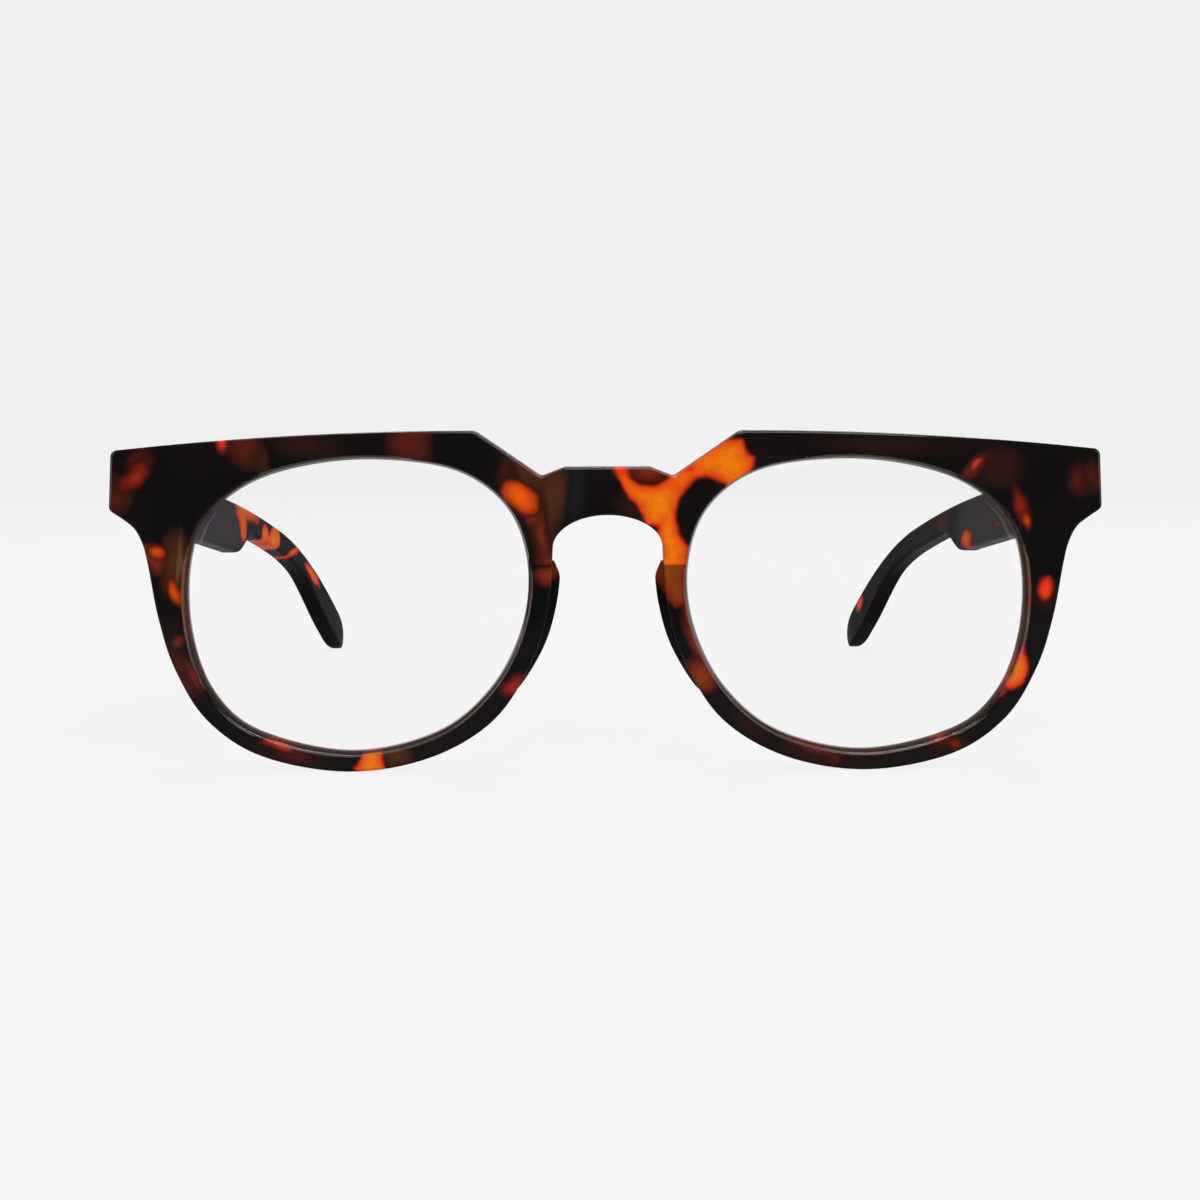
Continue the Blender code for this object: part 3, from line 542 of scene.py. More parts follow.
class AcetateBoard(Board):
    """The node tree of one tortoiseshell finish."""

    def __init__(self, look: TortoiseshellFinish) -> None:
        """Start with an empty tree and the place on the piece.

        Args:
            look: The finish.
        """
        super().__init__(bpy.data.materials.new(look.name))
        self.look = look
        self.here = self.place()

    def sheet_color(self) -> Socket:
        """Lay the patches over the dark ground, then the light and shade, and a fine mottling.

        Returns:
            The sheet's colour.
        """
        color = self.ground()
        bent = self.bent_place()
        for layer in self.look.layers:
            color = self.lay(layer, bent, color)
        if self.look.pad_line is not None:
            color = self.light_openings(self.shade_pads(color))
        level = self.spread(self.noise(self.here, size=0.0016, detail=3.0), (0.3, 0.7), (0.88, 1.1))
        grey = self.add("ShaderNodeCombineColor", Red=level, Green=level, Blue=level).outputs[0]
        return self.mix(1.0, color, grey, "MULTIPLY")

    def ground(self) -> Socket:
        """Return the mottled dark ground of the sheet."""
        stops = ((0.38, "040203"), (0.55, "0a0505"), (0.66, "140908"), (0.76, "200d08"))
        return self.ramp(self.noise(self.here, size=0.011, detail=4.0),
                         [(at, srgb(code), 1.0) for at, code in stops]).outputs[0]

    def bent_place(self) -> Socket:
        """Bend the coordinates, so that the patches get flowing outlines.

        Returns:
            The bent place on the piece.
        """
        place = self.here
        for size, reach in self.look.warps:
            drift = self.noise(place, size, detail=1.0, output="Color")
            centred = self.vector("SUBTRACT", drift, (0.5, 0.5, 0.5))
            place = self.vector("ADD", place, self.vector("MULTIPLY", centred, (4 * reach,) * 3))
        return place

    def inside(self, patch: Patch, place: Socket) -> Socket:
        """Measure how far inside a patch a place lies.

        Args:
            patch: The patch.
            place: The bent place on the piece.

        Returns:
            About the distance to the patch's edge in millimetres, negative outside it.
        """
        along, high = (value * MM for value in patch.middle)
        reach, rise = (value * MM for value in patch.half)
        angle = math.radians(patch.turn)
        if self.look.plane is Plane.FRONT:
            middle, turn, scale = (along, 0.0, high), (0.0, -angle, 0.0), (reach, 1.0 / MM, rise)
        else:
            middle, turn, scale = (0.0, along, high), (angle, 0.0, 0.0), (1.0 / MM, reach, rise)
        mapping = self.add("ShaderNodeMapping", Vector=place)
        mapping.vector_type = "TEXTURE"
        for name, values in (("Location", middle), ("Rotation", turn), ("Scale", scale)):
            mapping.inputs[name].default_value = values
        length = self.add("ShaderNodeVectorMath", i0=mapping.outputs[0])
        length.operation = "LENGTH"
        narrow = min(patch.half)
        return self.value("MULTIPLY_ADD", length.outputs["Value"], -narrow, narrow)

    def lay(self, layer: Layer, place: Socket, color: Socket) -> Socket:
        """Lay one layer over a colour.

        Args:
            layer: The layer.
            place: The bent place on the piece.
            color: The colour so far.

        Returns:
            The colour with the layer.
        """
        depth = self.inside(layer.patches[0], place)
        for patch in layer.patches[1:]:
            depth = self.value("SMOOTH_MAX", depth, self.inside(patch, place), RUN_TOGETHER)
        for hole in layer.holes:
            outside = self.value("MULTIPLY", self.inside(hole, place), -1.0)
            depth = self.value("MINIMUM", depth, self.value("MAXIMUM", outside, hole.floor))
        stops = [((at - STOP_LOW) / STOP_SPAN, srgb(code), alpha)
                 for at, code, alpha in TONE_STOPS[layer.tone]]
        ramp = self.ramp(self.spread(depth, (STOP_LOW, STOP_LOW + STOP_SPAN)), stops)
        return self.mix(ramp.outputs["Alpha"], color, ramp.outputs["Color"])

    def shade_pads(self, color: Socket) -> Socket:
        """Darken the warm tones where a nose pad behind the front keeps the light out.

        Args:
            color: The colour so far.

        Returns:
            The colour with the pads' shade.
        """
        look = self.look
        split = self.add("ShaderNodeSeparateXYZ", Vector=self.here).outputs
        line = self.spread(split["Z"], (look.pad_line + look.pad_blur,
                                        look.pad_line - look.pad_blur))
        low = self.spread(split["Z"], look.pad_low)
        side = self.spread(self.value("ABSOLUTE", split["X"]), look.pad_side)
        share = self.value("MULTIPLY", self.value("MULTIPLY", line, low), side)
        return self.mix(share, color, self.mix(1.0, color, look.pad_shade, "MULTIPLY"))

    def light_openings(self, color: Socket) -> Socket:
        """Lighten the openings' rounded edges, and their walls at the front's outer sides.

        Args:
            color: The colour so far.

        Returns:
            The colour with the light that the sheet's cut edges gather.
        """
        look = self.look
        split = self.add("ShaderNodeSeparateXYZ", Vector=self.here).outputs
        wall = self.value("MULTIPLY", self.mark(WALL_MARK), look.wall_glow)
        across = self.value("ABSOLUTE", split["X"])
        for part, fade in ((across, look.wall_side), (split["Z"], look.wall_low),
                           (split["Z"], look.wall_high)):
            wall = self.value("MULTIPLY", wall, self.spread(part, fade))
        edge = self.value("MULTIPLY", self.mark(EDGE_MARK), look.edge_light)
        return self.mix(wall, self.mix(edge, color, srgb(look.edge_color)), srgb(look.wall_color))

    def mark(self, name: str) -> Socket:
        """Read one of the piece's own marks.

        Args:
            name: The mark's name.

        Returns:
            The mark's share, 0 to 1.
        """
        node = self.add("ShaderNodeAttribute")
        node.attribute_name = name
        return node.outputs["Fac"]

    def polish(self) -> bpy.types.Material:
        """Give the sheet its uneven gloss and the faint waves of tumbling.

        Returns:
            The finished material.
        """
        gloss = self.look.roughness
        haze = self.noise(self.here, size=0.004, detail=4.0)
        waves = self.noise(self.here, size=0.005, detail=1.0)
        shader = self.add("ShaderNodeBsdfPrincipled", Base_Color=self.sheet_color(),
                          Roughness=self.spread(haze, (0.3, 0.7), (gloss * 0.75, gloss * 1.35)),
                          Normal=self.bump(waves, strength=0.15, distance=0.00006))
        shader.inputs["IOR"].default_value = self.look.index
        shader.inputs["Specular IOR Level"].default_value = self.look.specular
        return self.finish(shader)


@dataclass(frozen=True)
class LensFinish:
    """Clear optical plastic: only its reflection shows, and more of it at a glancing view.

    The reflection takes the colour of the coating, and never more than the largest share.
    """

    name: str = "clear_lens_plastic"
    coating: Color = (0.96, 0.98, 1.0)
    index: float = 1.22
    most: float = 0.09
    clean: float = 0.01
    smear: float = 0.03

    def material(self) -> bpy.types.Material:
        """Build the material.

        Returns:
            The finished material.
        """
        board = Board(bpy.data.materials.new(self.name))
        film = board.noise(board.place(), size=0.009, detail=3.0)
        rough = board.spread(film, (0.35, 0.7), (self.clean, self.smear))
        mirror = board.add("ShaderNodeFresnel", IOR=self.index).outputs[0]
        mirror = board.value("MINIMUM", mirror, self.most)
        shader = board.add("ShaderNodeBsdfPrincipled", Roughness=rough, Alpha=mirror)
        shader.inputs["Base Color"].default_value = (*self.coating, 1.0)
        shader.inputs["Metallic"].default_value = 1.0
        return board.finish(shader)


@dataclass(frozen=True)
class LensEdgeFinish:
    """The ground edge of a lens, painted with the brown of the rim's groove: a painted reflection
    of the groove in the edge.
    """

    name: str = "lens_edge_plastic"
    # the groove's brown, a painted reflection; the real groove still shows through the alpha
    color: str = "644c45"
    alpha: float = 0.6
    specular: float = 0.1
    roughness: Pair = (0.35, 0.6)

    def material(self) -> bpy.types.Material:
        """Build the material.

        Returns:
            The finished material.
        """
        board = Board(bpy.data.materials.new(self.name))
        grain = board.noise(board.place(), size=0.0006, detail=2.0)
        rough = board.spread(grain, target=self.roughness)
        shader = board.add("ShaderNodeBsdfPrincipled", Roughness=rough)
        shader.inputs["Base Color"].default_value = (*srgb(self.color), 1.0)
        shader.inputs["Specular IOR Level"].default_value = self.specular
        shader.inputs["Alpha"].default_value = self.alpha
        return board.finish(shader)


@dataclass(frozen=True)
class SteelFinish:
    """Satin metal with fine lines, for the hinges, their screws and the core wires.

    The grain stretches the lines: along an axis with a small value they run on.
    """

    name: str
    color: str
    roughness: float
    grain: tuple[float, float, float]

    def material(self) -> bpy.types.Material:
        """Build the material.

        Returns:
            The finished material.
        """
        board = Board(bpy.data.materials.new(self.name))
        place = board.place()
        mapping = board.add("ShaderNodeMapping", Vector=place)
        mapping.inputs["Scale"].default_value = self.grain
        lines = board.noise(mapping.outputs[0], size=0.0004, detail=3.0)
        stain = board.noise(place, size=0.002, detail=3.0)
        bright = srgb(self.color)
        dull = tuple(value * 0.8 for value in bright)
        tint = board.ramp(stain, ((0.3, dull, 1.0), (0.7, bright, 1.0)))
        rough = board.spread(lines, (0.3, 0.7), (self.roughness * 0.75, self.roughness * 1.3))
        shader = board.add("ShaderNodeBsdfPrincipled", Base_Color=tint.outputs[0], Roughness=rough,
                           Normal=board.bump(lines, strength=0.25, distance=0.00001))
        shader.inputs["Metallic"].default_value = 1.0
        return board.finish(shader)


@dataclass(frozen=True)
class PaperFinish:
    """The pale paper under and behind the glasses.

    The camera and rays through the lenses see it at an even level, with a weak share of real
    light that keeps the shadow. Glossy rays see it dimmer, as paper in a dim room.
    """

    level: float = 0.915
    mirrored: float = 0.15
    shadow_share: float = 0.06
    bounce: float = 0.75

    def material(self) -> bpy.types.Material:
        """Build the material.

        Returns:
            The finished material.
        """
        board = Board(bpy.data.materials.new("pale_paper"))
        rays = board.add("ShaderNodeLightPath").outputs
        seen = board.value("MAXIMUM", rays["Is Camera Ray"], rays["Is Glossy Ray"])
        seen = board.value("MAXIMUM", seen, rays["Is Transmission Ray"])
        plain = board.add("ShaderNodeBsdfDiffuse", Color=(self.bounce,) * 3 + (1.0,))
        shade = board.add("ShaderNodeBsdfDiffuse", Color=(self.shadow_share,) * 3 + (1.0,))
        strength = board.spread(rays["Is Glossy Ray"],
                                target=(self.level - self.shadow_share, self.mirrored))
        glow = board.add("ShaderNodeEmission", Color=(1.0,) * 4, Strength=strength)
        even = board.add("ShaderNodeAddShader", i0=shade.outputs[0], i1=glow.outputs[0])
        return board.finish(board.add("ShaderNodeMixShader", i0=seen, i1=plain.outputs[0],
                                      i2=even.outputs[0]))


@dataclass(frozen=True)
class FrontPlan:
    """The front's sizes and outlines, flat, as (X, Z) points on the wearer's left.

    The outlines are given as shares: of the lens opening's half sizes, of the rim's, and for
    the sweep under the end piece of that piece's reach.
    """

    lens_width: float = 0.0491
    lens_height: float = 0.0420
    bridge_gap: float = 0.0217
    rim_bottom: float = 0.0024
    rim_top: float = 0.0037
    rim_side: float = 0.0047
    thickness: float = 0.0042
    wrap_radius: float = 0.400
    land_depth: float = 0.0118
    bridge_drop: float = 0.00505
    bridge_depth: float = 0.00665
    bar_half: float = 0.0060
    bar_round: float = 0.0010
    notch_inset: float = 0.0016
    notch_depth: float = 0.0013
    notch_round: float = 0.0009
    brow_reach: float = 0.0077
    brow_round: float = 0.0022
    brow_fall: float = 0.0028
    end_reach: float = 0.01075
    end_height: float = 0.0084
    end_taper: float = 0.0005
    end_round: float = 0.0010
    small_steps: int = 5
    corner_steps: int = 6
    fall_steps: int = 18
    keyhole_steps: int = 14
    lens_shares: tuple[Pair, ...] = (
        (-0.15, 1.0), (0.28, 0.96), (0.64, 0.825), (0.90, 0.567), (0.996, 0.22),
        (0.985, -0.22), (0.863, -0.605), (0.60, -0.867), (0.055, -1.0), (-0.45, -0.867),
        (-0.77, -0.567), (-0.955, -0.16), (-1.0, 0.267), (-0.89, 0.662), (-0.60, 0.92),
    )
    end_sweep: tuple[Pair, ...] = ((0.16, 0.10), (0.34, 0.24), (0.45, 0.45))
    rim_sweep: tuple[Pair, ...] = (
        (1.017, 0.24), (0.972, -0.08), (0.895, -0.39), (0.74, -0.70), (0.47, -0.915),
        (0.05, -1.0), (-0.35, -0.91), (-0.662, -0.675), (-0.85, -0.308),
        (-0.926, 0.02), (-0.946, 0.355),
    )

    @property
    def centre(self) -> Vector:
        """The middle of the lens opening."""
        return Vector((self.bridge_gap / 2 + self.lens_width / 2,
                       self.rim_bottom + self.lens_height / 2))

    @property
    def brow_top(self) -> float:
        """The height of the brow."""
        return self.rim_bottom + self.lens_height + self.rim_top

    @property
    def bridge_top(self) -> float:
        """The height of the bridge's flat top."""
        return self.brow_top - self.bridge_drop

    @property
    def end_x(self) -> float:
        """The half width of the front."""
        return self.bridge_gap / 2 + self.lens_width + self.end_reach

    @property
    def end_top(self) -> float:
        """The height of the end piece's top corner."""
        return self.brow_top - self.brow_fall

    @property
    def end_low(self) -> float:
        """The height of the end piece's lower corner."""
        return self.end_top - self.end_height

    def wrap(self, x: float) -> float:
        """Return how far the front has turned back at a distance x from its middle."""
        return x * x / (2.0 * self.wrap_radius)

    def knots(self, shares: Iterable[Pair], half: Pair) -> list[Vector]:
        """Return the places that are given as shares of half a width and half a height."""
        return [self.centre + Vector((x * half[0], z * half[1])) for x, z in shares]

    def lens_outline(self) -> list[Vector]:
        """Return the outline of the lens opening."""
        half = (self.lens_width / 2, self.lens_height / 2)
        return smooth_curve(self.knots(self.lens_shares, half), CURVE_STEPS, closed=True)

    def rim_knots(self) -> list[Vector]:
        """Return the knots of the rim's outer edge, from the end piece round to the keyhole."""
        return self.knots(self.rim_sweep, (self.lens_width / 2 + self.rim_side,
                                           self.lens_height / 2 + self.rim_bottom))

    def half_outline(self) -> list[Vector]:
        """Draw the left half of the outer outline, from the bridge's top round to the keyhole.

        Returns:
            The points of the outline.
        """
        middle = Vector((0.0, self.bridge_top))
        bar = Vector((self.bar_half, self.bridge_top))
        notch = Vector((self.bridge_gap / 2 - self.notch_inset, self.bridge_top - self.notch_depth))
        brow = Vector((self.bridge_gap / 2 + self.brow_reach, self.brow_top))
        end_top = Vector((self.end_x - self.end_taper, self.end_top))
        end_low = Vector((self.end_x, self.end_low))
        sweep = [Vector((self.end_x - x * self.end_reach, self.end_low - z * self.end_reach))
                 for x, z in self.end_sweep]
        fall = [brow.lerp(end_top, i / self.fall_steps) for i in range(1, self.fall_steps)]
        for index, point in enumerate(fall, 1):
            point.y = self.brow_top - self.brow_fall * (index / self.fall_steps) ** 2
        outline = [middle]
        outline += corner_arc(middle, bar, notch, self.bar_round, self.small_steps)
        outline += corner_arc(bar, notch, brow, self.notch_round, self.small_steps)
        outline += corner_arc(notch, brow, fall[0], self.brow_round, self.corner_steps)
        outline += fall[1:-1]
        outline += corner_arc(fall[-2], end_top, end_low, self.end_round, self.corner_steps)
        outline += corner_arc(end_top, end_low, sweep[0], self.end_round, self.corner_steps)
        outline += smooth_curve(sweep + self.rim_knots(), CURVE_STEPS, closed=False)
        side = outline[-1]
        rise = self.bridge_top - self.bridge_depth - side.y
        for step in range(1, self.keyhole_steps + 1):
            angle = math.pi / 2 * step / self.keyhole_steps
            outline.append(Vector((side.x * math.cos(angle), side.y + rise * math.sin(angle))))
        outline[-1].x = 0.0
        return outline


@dataclass
class Front:
    """The front: rims, keyhole bridge, brows and end pieces, cut from one sheet.

    The margins say how far a place may lie outside a lens opening's half sizes and still be on
    its wall. The edge mark is how much of a wall's glow its rounded edge gets.
    """

    plan: FrontPlan
    edge_round: float = 0.0004
    opening_round: float = 0.00035
    groove_depth: float = 0.0009
    groove_width: float = 0.0019
    land_reach: float = 0.0120
    land_ramp: float = 0.0035
    land_blend: float = 0.0032
    cut_pitch: float = 0.003
    ramp_steps: int = 8
    blend_steps: int = 6
    round_steps: int = 5
    margin: float = 1.04
    side_margin: float = 1.02
    edge_mark: float = 0.6

    def build(self, materials: Sequence[bpy.types.Material]) -> bpy.types.Object:
        """Cut, thicken, round, groove and bend the front.

        Args:
            materials: The acetate of each area.

        Returns:
            The finished piece.
        """
        mesh = bmesh.new()
        for name in (EDGE_MARK, WALL_MARK):
            mesh.verts.layers.float.new(name)
        self.add_sheet(mesh)
        thicken(mesh, Vector((0.0, self.plan.thickness, 0.0)))
        for at_opening, radius in ((False, self.edge_round), (True, self.opening_round)):
            round_edges(mesh, self.rim_edges(mesh, at_opening), radius, self.round_steps)
        self.mark_openings(mesh)
        self.cut_grooves(mesh)
        self.add_cuts(mesh)
        for face in mesh.faces:
            along = face.calc_center_median().x / MM
            face.material_index = next(i for i, area in enumerate(FRONT_AREAS) if along < area.high)
        for vertex in mesh.verts:
            self.bend(vertex)
        return make_piece(mesh, "front_acetate", "front", materials,
                          "front_frame")

    def add_sheet(self, mesh: bmesh.types.BMesh) -> None:
        """Add the flat face: one half as two faces round its opening, then its mirror image.

        Args:
            mesh: The empty mesh.
        """
        outer, opening = ([mesh.verts.new((p.x, 0.0, p.y)) for p in points]
                          for points in (self.plan.half_outline(), self.plan.lens_outline()))
        low = min(range(len(opening)), key=lambda i: opening[i].co.z)
        rim = [i for i in range(len(outer)) if outer[i].co.x > self.plan.bridge_gap]
        above = min((i for i in rim if outer[i].co.z > self.plan.end_top),
                    key=lambda i: abs(outer[i].co.x - opening[0].co.x))
        below = min((i for i in rim if outer[i].co.z < self.plan.centre.y),
                    key=lambda i: abs(outer[i].co.x - opening[low].co.x))
        mesh.faces.new(outer[above:below + 1] + opening[low::-1])
        mesh.faces.new(outer[below:] + outer[:above + 1] + [opening[0]] + opening[:low - 1:-1])
        bmesh.ops.mirror(mesh, geom=mesh.faces[:] + mesh.edges[:] + mesh.verts[:],
                         matrix=Matrix.Identity(4), merge_dist=TINY, axis="X")

    def near_opening(self, place: Vector) -> bool:
        """Say whether a place is on a lens opening's wall.

        Args:
            place: A place on any of the front's walls, before the wrap.

        Returns:
            True for an opening's wall, False for the outer one.
        """
        out = Vector((abs(place.x), place.z)) - self.plan.centre
        half = Vector((self.plan.lens_width / 2, self.plan.lens_height / 2))
        return (Vector((out.x / half.x, out.y / half.y)).length < self.margin
                and abs(out.x) < half.x * self.side_margin)

    def rim_edges(self, mesh: bmesh.types.BMesh, at_opening: bool) -> list[bmesh.types.BMEdge]:
        """Find the sharp edges of the outer wall or of the openings' walls.

        Args:
            mesh: The flat plate.
            at_opening: Whether the openings' edges are meant.

        Returns:
            The edges.
        """
        sharp = [edge for edge in mesh.edges
                 if len(edge.link_faces) == 2 and edge.calc_face_angle() >= SHARP_EDGE]
        return [edge for edge in sharp
                if self.near_opening((edge.verts[0].co + edge.verts[1].co) / 2) == at_opening]

    def mark_openings(self, mesh: bmesh.types.BMesh) -> None:
        """Mark the walls of the openings and their rounded front edges, where the finish paints its
        glow and highlight.

        Args:
            mesh: The rounded plate.
        """
        edge, wall = (mesh.verts.layers.float[name] for name in (EDGE_MARK, WALL_MARK))
        front = self.opening_round - TINY
        back = self.plan.thickness - self.opening_round + TINY
        for vertex in mesh.verts:
            if self.near_opening(vertex.co):
                depth = vertex.co.y
                on_edge = TINY < depth < front
                vertex[edge] = float(on_edge)
                vertex[wall] = self.edge_mark if on_edge else float(front < depth < back)

    def cut_grooves(self, mesh: bmesh.types.BMesh) -> None:
        """Cut the V groove that holds the lens into each opening's wall.

        Args:
            mesh: The rounded plate.
        """
        middle = self.plan.thickness / 2
        for depth in (middle - self.groove_width / 2, middle, middle + self.groove_width / 2):
            walls = [face for face in mesh.faces if abs(face.normal.y) < WALL_TILT
                     and self.near_opening(face.calc_center_median())]
            cut_across(mesh, "Y", depth, walls)
        mesh.normal_update()
        ring = [vertex for vertex in mesh.verts
                if abs(vertex.co.y - middle) < TINY and self.near_opening(vertex.co)]
        for vertex, normal in [(vertex, vertex.normal.copy()) for vertex in ring]:
            vertex.co -= normal * self.groove_depth

    def add_cuts(self, mesh: bmesh.types.BMesh) -> None:
        """Divide the flat faces, so that they can follow the wrap and the lands.

        Args:
            mesh: The grooved plate.
        """
        inner = self.plan.end_x - self.land_reach - self.land_ramp
        count = int(self.plan.end_x / self.cut_pitch)
        across = [i * self.cut_pitch for i in range(-count, count + 1)]
        across += [sign * (inner + self.land_ramp * i / self.ramp_steps)
                   for i in range(self.ramp_steps + 1) for sign in (-1, 1)]
        for x in across:
            cut_across(mesh, "X", x)
        for index in range(self.blend_steps + 1):
            ends = [face for face in mesh.faces if abs(face.calc_center_median().x) > inner]
            height = self.plan.end_low - self.land_blend * index / self.blend_steps
            cut_across(mesh, "Z", height, ends)

    def bend(self, vertex: bmesh.types.BMVert) -> None:
        """Wrap one vertex round the face's cylinder and raise it where it lies on a land.

        Args:
            vertex: A vertex of the flat plate.
        """
        x, y, z = vertex.co
        wrap = self.plan.wrap(x)
        if y > self.plan.thickness / 2 + self.groove_width / 2 + TINY:
            ramp = abs(x) - self.plan.end_x + self.land_reach + self.land_ramp
            share = smoothstep(ramp / self.land_ramp)
            share *= smoothstep((z - self.plan.end_low + self.land_blend) / self.land_blend)
            y += share * (self.plan.land_depth - wrap - self.plan.thickness)
        vertex.co.y = y + wrap + FACE_Y


@dataclass
class Lens:
    """One clear lens, a curved sheet with a bevelled edge in the rim's groove.

    The rings are given as shares of the outline. An edge that is longer front to back than the
    rung share of the thickness goes across the lens's wall.
    """

    plan: FrontPlan
    side: Side
    thickness: float = 0.0018
    bulge: float = 0.0011
    clearance: float = 0.0003
    edge_reach: float = 0.0006
    ring_shares: tuple[float, ...] = (0.9, 0.78, 0.64, 0.5, 0.36, 0.22, 0.1)
    rung_share: float = 0.8

    def build(self, materials: Sequence[bpy.types.Material]) -> bpy.types.Object:
        """Make the lens.

        Args:
            materials: The clear plastic and its ground edge.

        Returns:
            The finished piece.
        """
        mesh = bmesh.new()
        self.add_sheet(mesh)
        thicken(mesh, Vector((0.0, self.thickness, 0.0)))
        self.bevel_edge(mesh)
        inset = (self.plan.thickness - self.thickness) / 2
        for vertex in mesh.verts:
            vertex.co.y += self.plan.wrap(vertex.co.x) + FACE_Y + inset
        mirror_to(mesh, self.side)
        word = self.side.word
        return make_piece(mesh, f"lens_sheet_{word}", "front", materials,
                          f"lens_{word}")

    def add_sheet(self, mesh: bmesh.types.BMesh) -> None:
        """Add the bulging face: rings drawn in from the outline to a pole.

        Args:
            mesh: The empty mesh.
        """
        centre = Vector((self.plan.centre.x, 0.0, self.plan.centre.y))
        kept = 1 - 2 * self.clearance / self.plan.lens_height
        ring = [mesh.verts.new(centre.lerp(Vector((p.x, 0.0, p.y)), kept))
                for p in self.plan.lens_outline()]
        edges = [mesh.edges.new(pair) for pair in zip(ring, ring[1:] + ring[:1])]
        last = 1.0
        for share in self.ring_shares:
            made = bmesh.ops.extrude_edge_only(mesh, edges=edges)["geom"]
            edges = [item for item in made if isinstance(item, bmesh.types.BMEdge)]
            verts = [item for item in made if isinstance(item, bmesh.types.BMVert)]
            bmesh.ops.scale(mesh, vec=(share / last, 1.0, share / last), verts=verts,
                            space=Matrix.Translation(-centre))
            rise = self.bulge * (share ** 2 - last ** 2)
            bmesh.ops.translate(mesh, vec=(0.0, rise, 0.0), verts=verts)
            last = share
        cap = bmesh.ops.contextual_create(mesh, geom=edges)["faces"]
        bmesh.ops.poke(mesh, faces=cap)

    def bevel_edge(self, mesh: bmesh.types.BMesh) -> None:
        """Give the wall its own finish and draw its middle out into the ridge for the groove.

        Args:
            mesh: The thick sheet.
        """
        for face in mesh.faces:
            face.material_index = int(abs(face.normal.y) < WALL_TILT)
        rung = self.thickness * self.rung_share
        rungs = [edge for edge in mesh.edges
                 if abs(edge.verts[0].co.y - edge.verts[1].co.y) > rung]
        made = bmesh.ops.subdivide_edges(mesh, edges=rungs, cuts=1)
        middle = [item for item in made["geom_inner"] if isinstance(item, bmesh.types.BMVert)]
        mesh.normal_update()
        for vertex, normal in [(vertex, vertex.normal.copy()) for vertex in middle]:
            vertex.co += normal * (self.clearance + self.edge_reach)


@dataclass
class NosePad:
    """One nose pad, a small acetate block glued behind the front's edge beside the nose."""

    plan: FrontPlan
    side: Side
    top_share: float = 0.27
    low_share: float = -0.53
    proud: float = 0.0012
    cover: float = 0.0024
    depth: float = 0.0036
    splay: float = 0.0012
    edge_round: float = 0.0005
    start_share: float = 0.3
    rise_share: float = 0.19
    narrow_share: float = 0.45
    glue_gap: float = 0.0002
    steps: int = 32
    round_steps: int = 5

    def edge(self) -> list[Vector]:
        """Follow the front's edge beside the nose, from the pad's top to its low end.

        Returns:
            The places on the edge, one for each step.
        """
        curve = smooth_curve(self.plan.rim_knots(), CURVE_STEPS, closed=False)
        quarter = self.plan.centre.x - self.plan.lens_width / 4
        nasal = sorted((p for p in curve if p.x < quarter), key=lambda p: -p.y)
        half = self.plan.lens_height / 2 + self.plan.rim_bottom
        top = self.plan.centre.y + self.top_share * half
        low = self.plan.centre.y + self.low_share * half
        points = []
        for step in range(self.steps + 1):
            z = top + (low - top) * step / self.steps
            for upper, lower in zip(nasal, nasal[1:]):
                if lower.y <= z <= upper.y:
                    points.append(upper.lerp(lower, (upper.y - z) / (upper.y - lower.y)))
                    break
        return points

    def build(self, material: bpy.types.Material) -> bpy.types.Object:
        """Make the pad.

        Args:
            material: The pad's acetate.

        Returns:
            The finished piece.
        """
        inner, outer = [], []
        points = self.edge()
        for index, point in enumerate(points):
            share = index / (len(points) - 1)
            risen = smoothstep(share / self.rise_share + self.start_share)
            proud = self.proud * math.sqrt(max(1 - share ** 2, 0.0)) * risen
            inner.append(Vector((point.x - proud, 0.0, point.y)))
            cover = self.cover * (1 - self.narrow_share * share)
            outer.append(Vector((point.x + cover, 0.0, point.y)))
        mesh = bmesh.new()
        mesh.faces.new([mesh.verts.new(place) for place in inner + outer[::-1]])
        thicken(mesh, Vector((0.0, self.depth, 0.0)))
        back = [edge for edge in mesh.edges if len(edge.link_faces) == 2
                and all(vertex.co.y > self.depth - TINY for vertex in edge.verts)]
        round_edges(mesh, back, self.edge_round, self.round_steps)
        start = self.plan.thickness + self.glue_gap
        for vertex in mesh.verts:
            lean = self.splay * vertex.co.y / self.depth
            vertex.co.y += start + self.plan.wrap(vertex.co.x) + FACE_Y
            vertex.co.x += lean
        mirror_to(mesh, self.side)
        word = self.side.word
        return make_piece(mesh, f"nose_pad_acetate_{word}", "front", [material],
                          f"nose_pad_{word}")


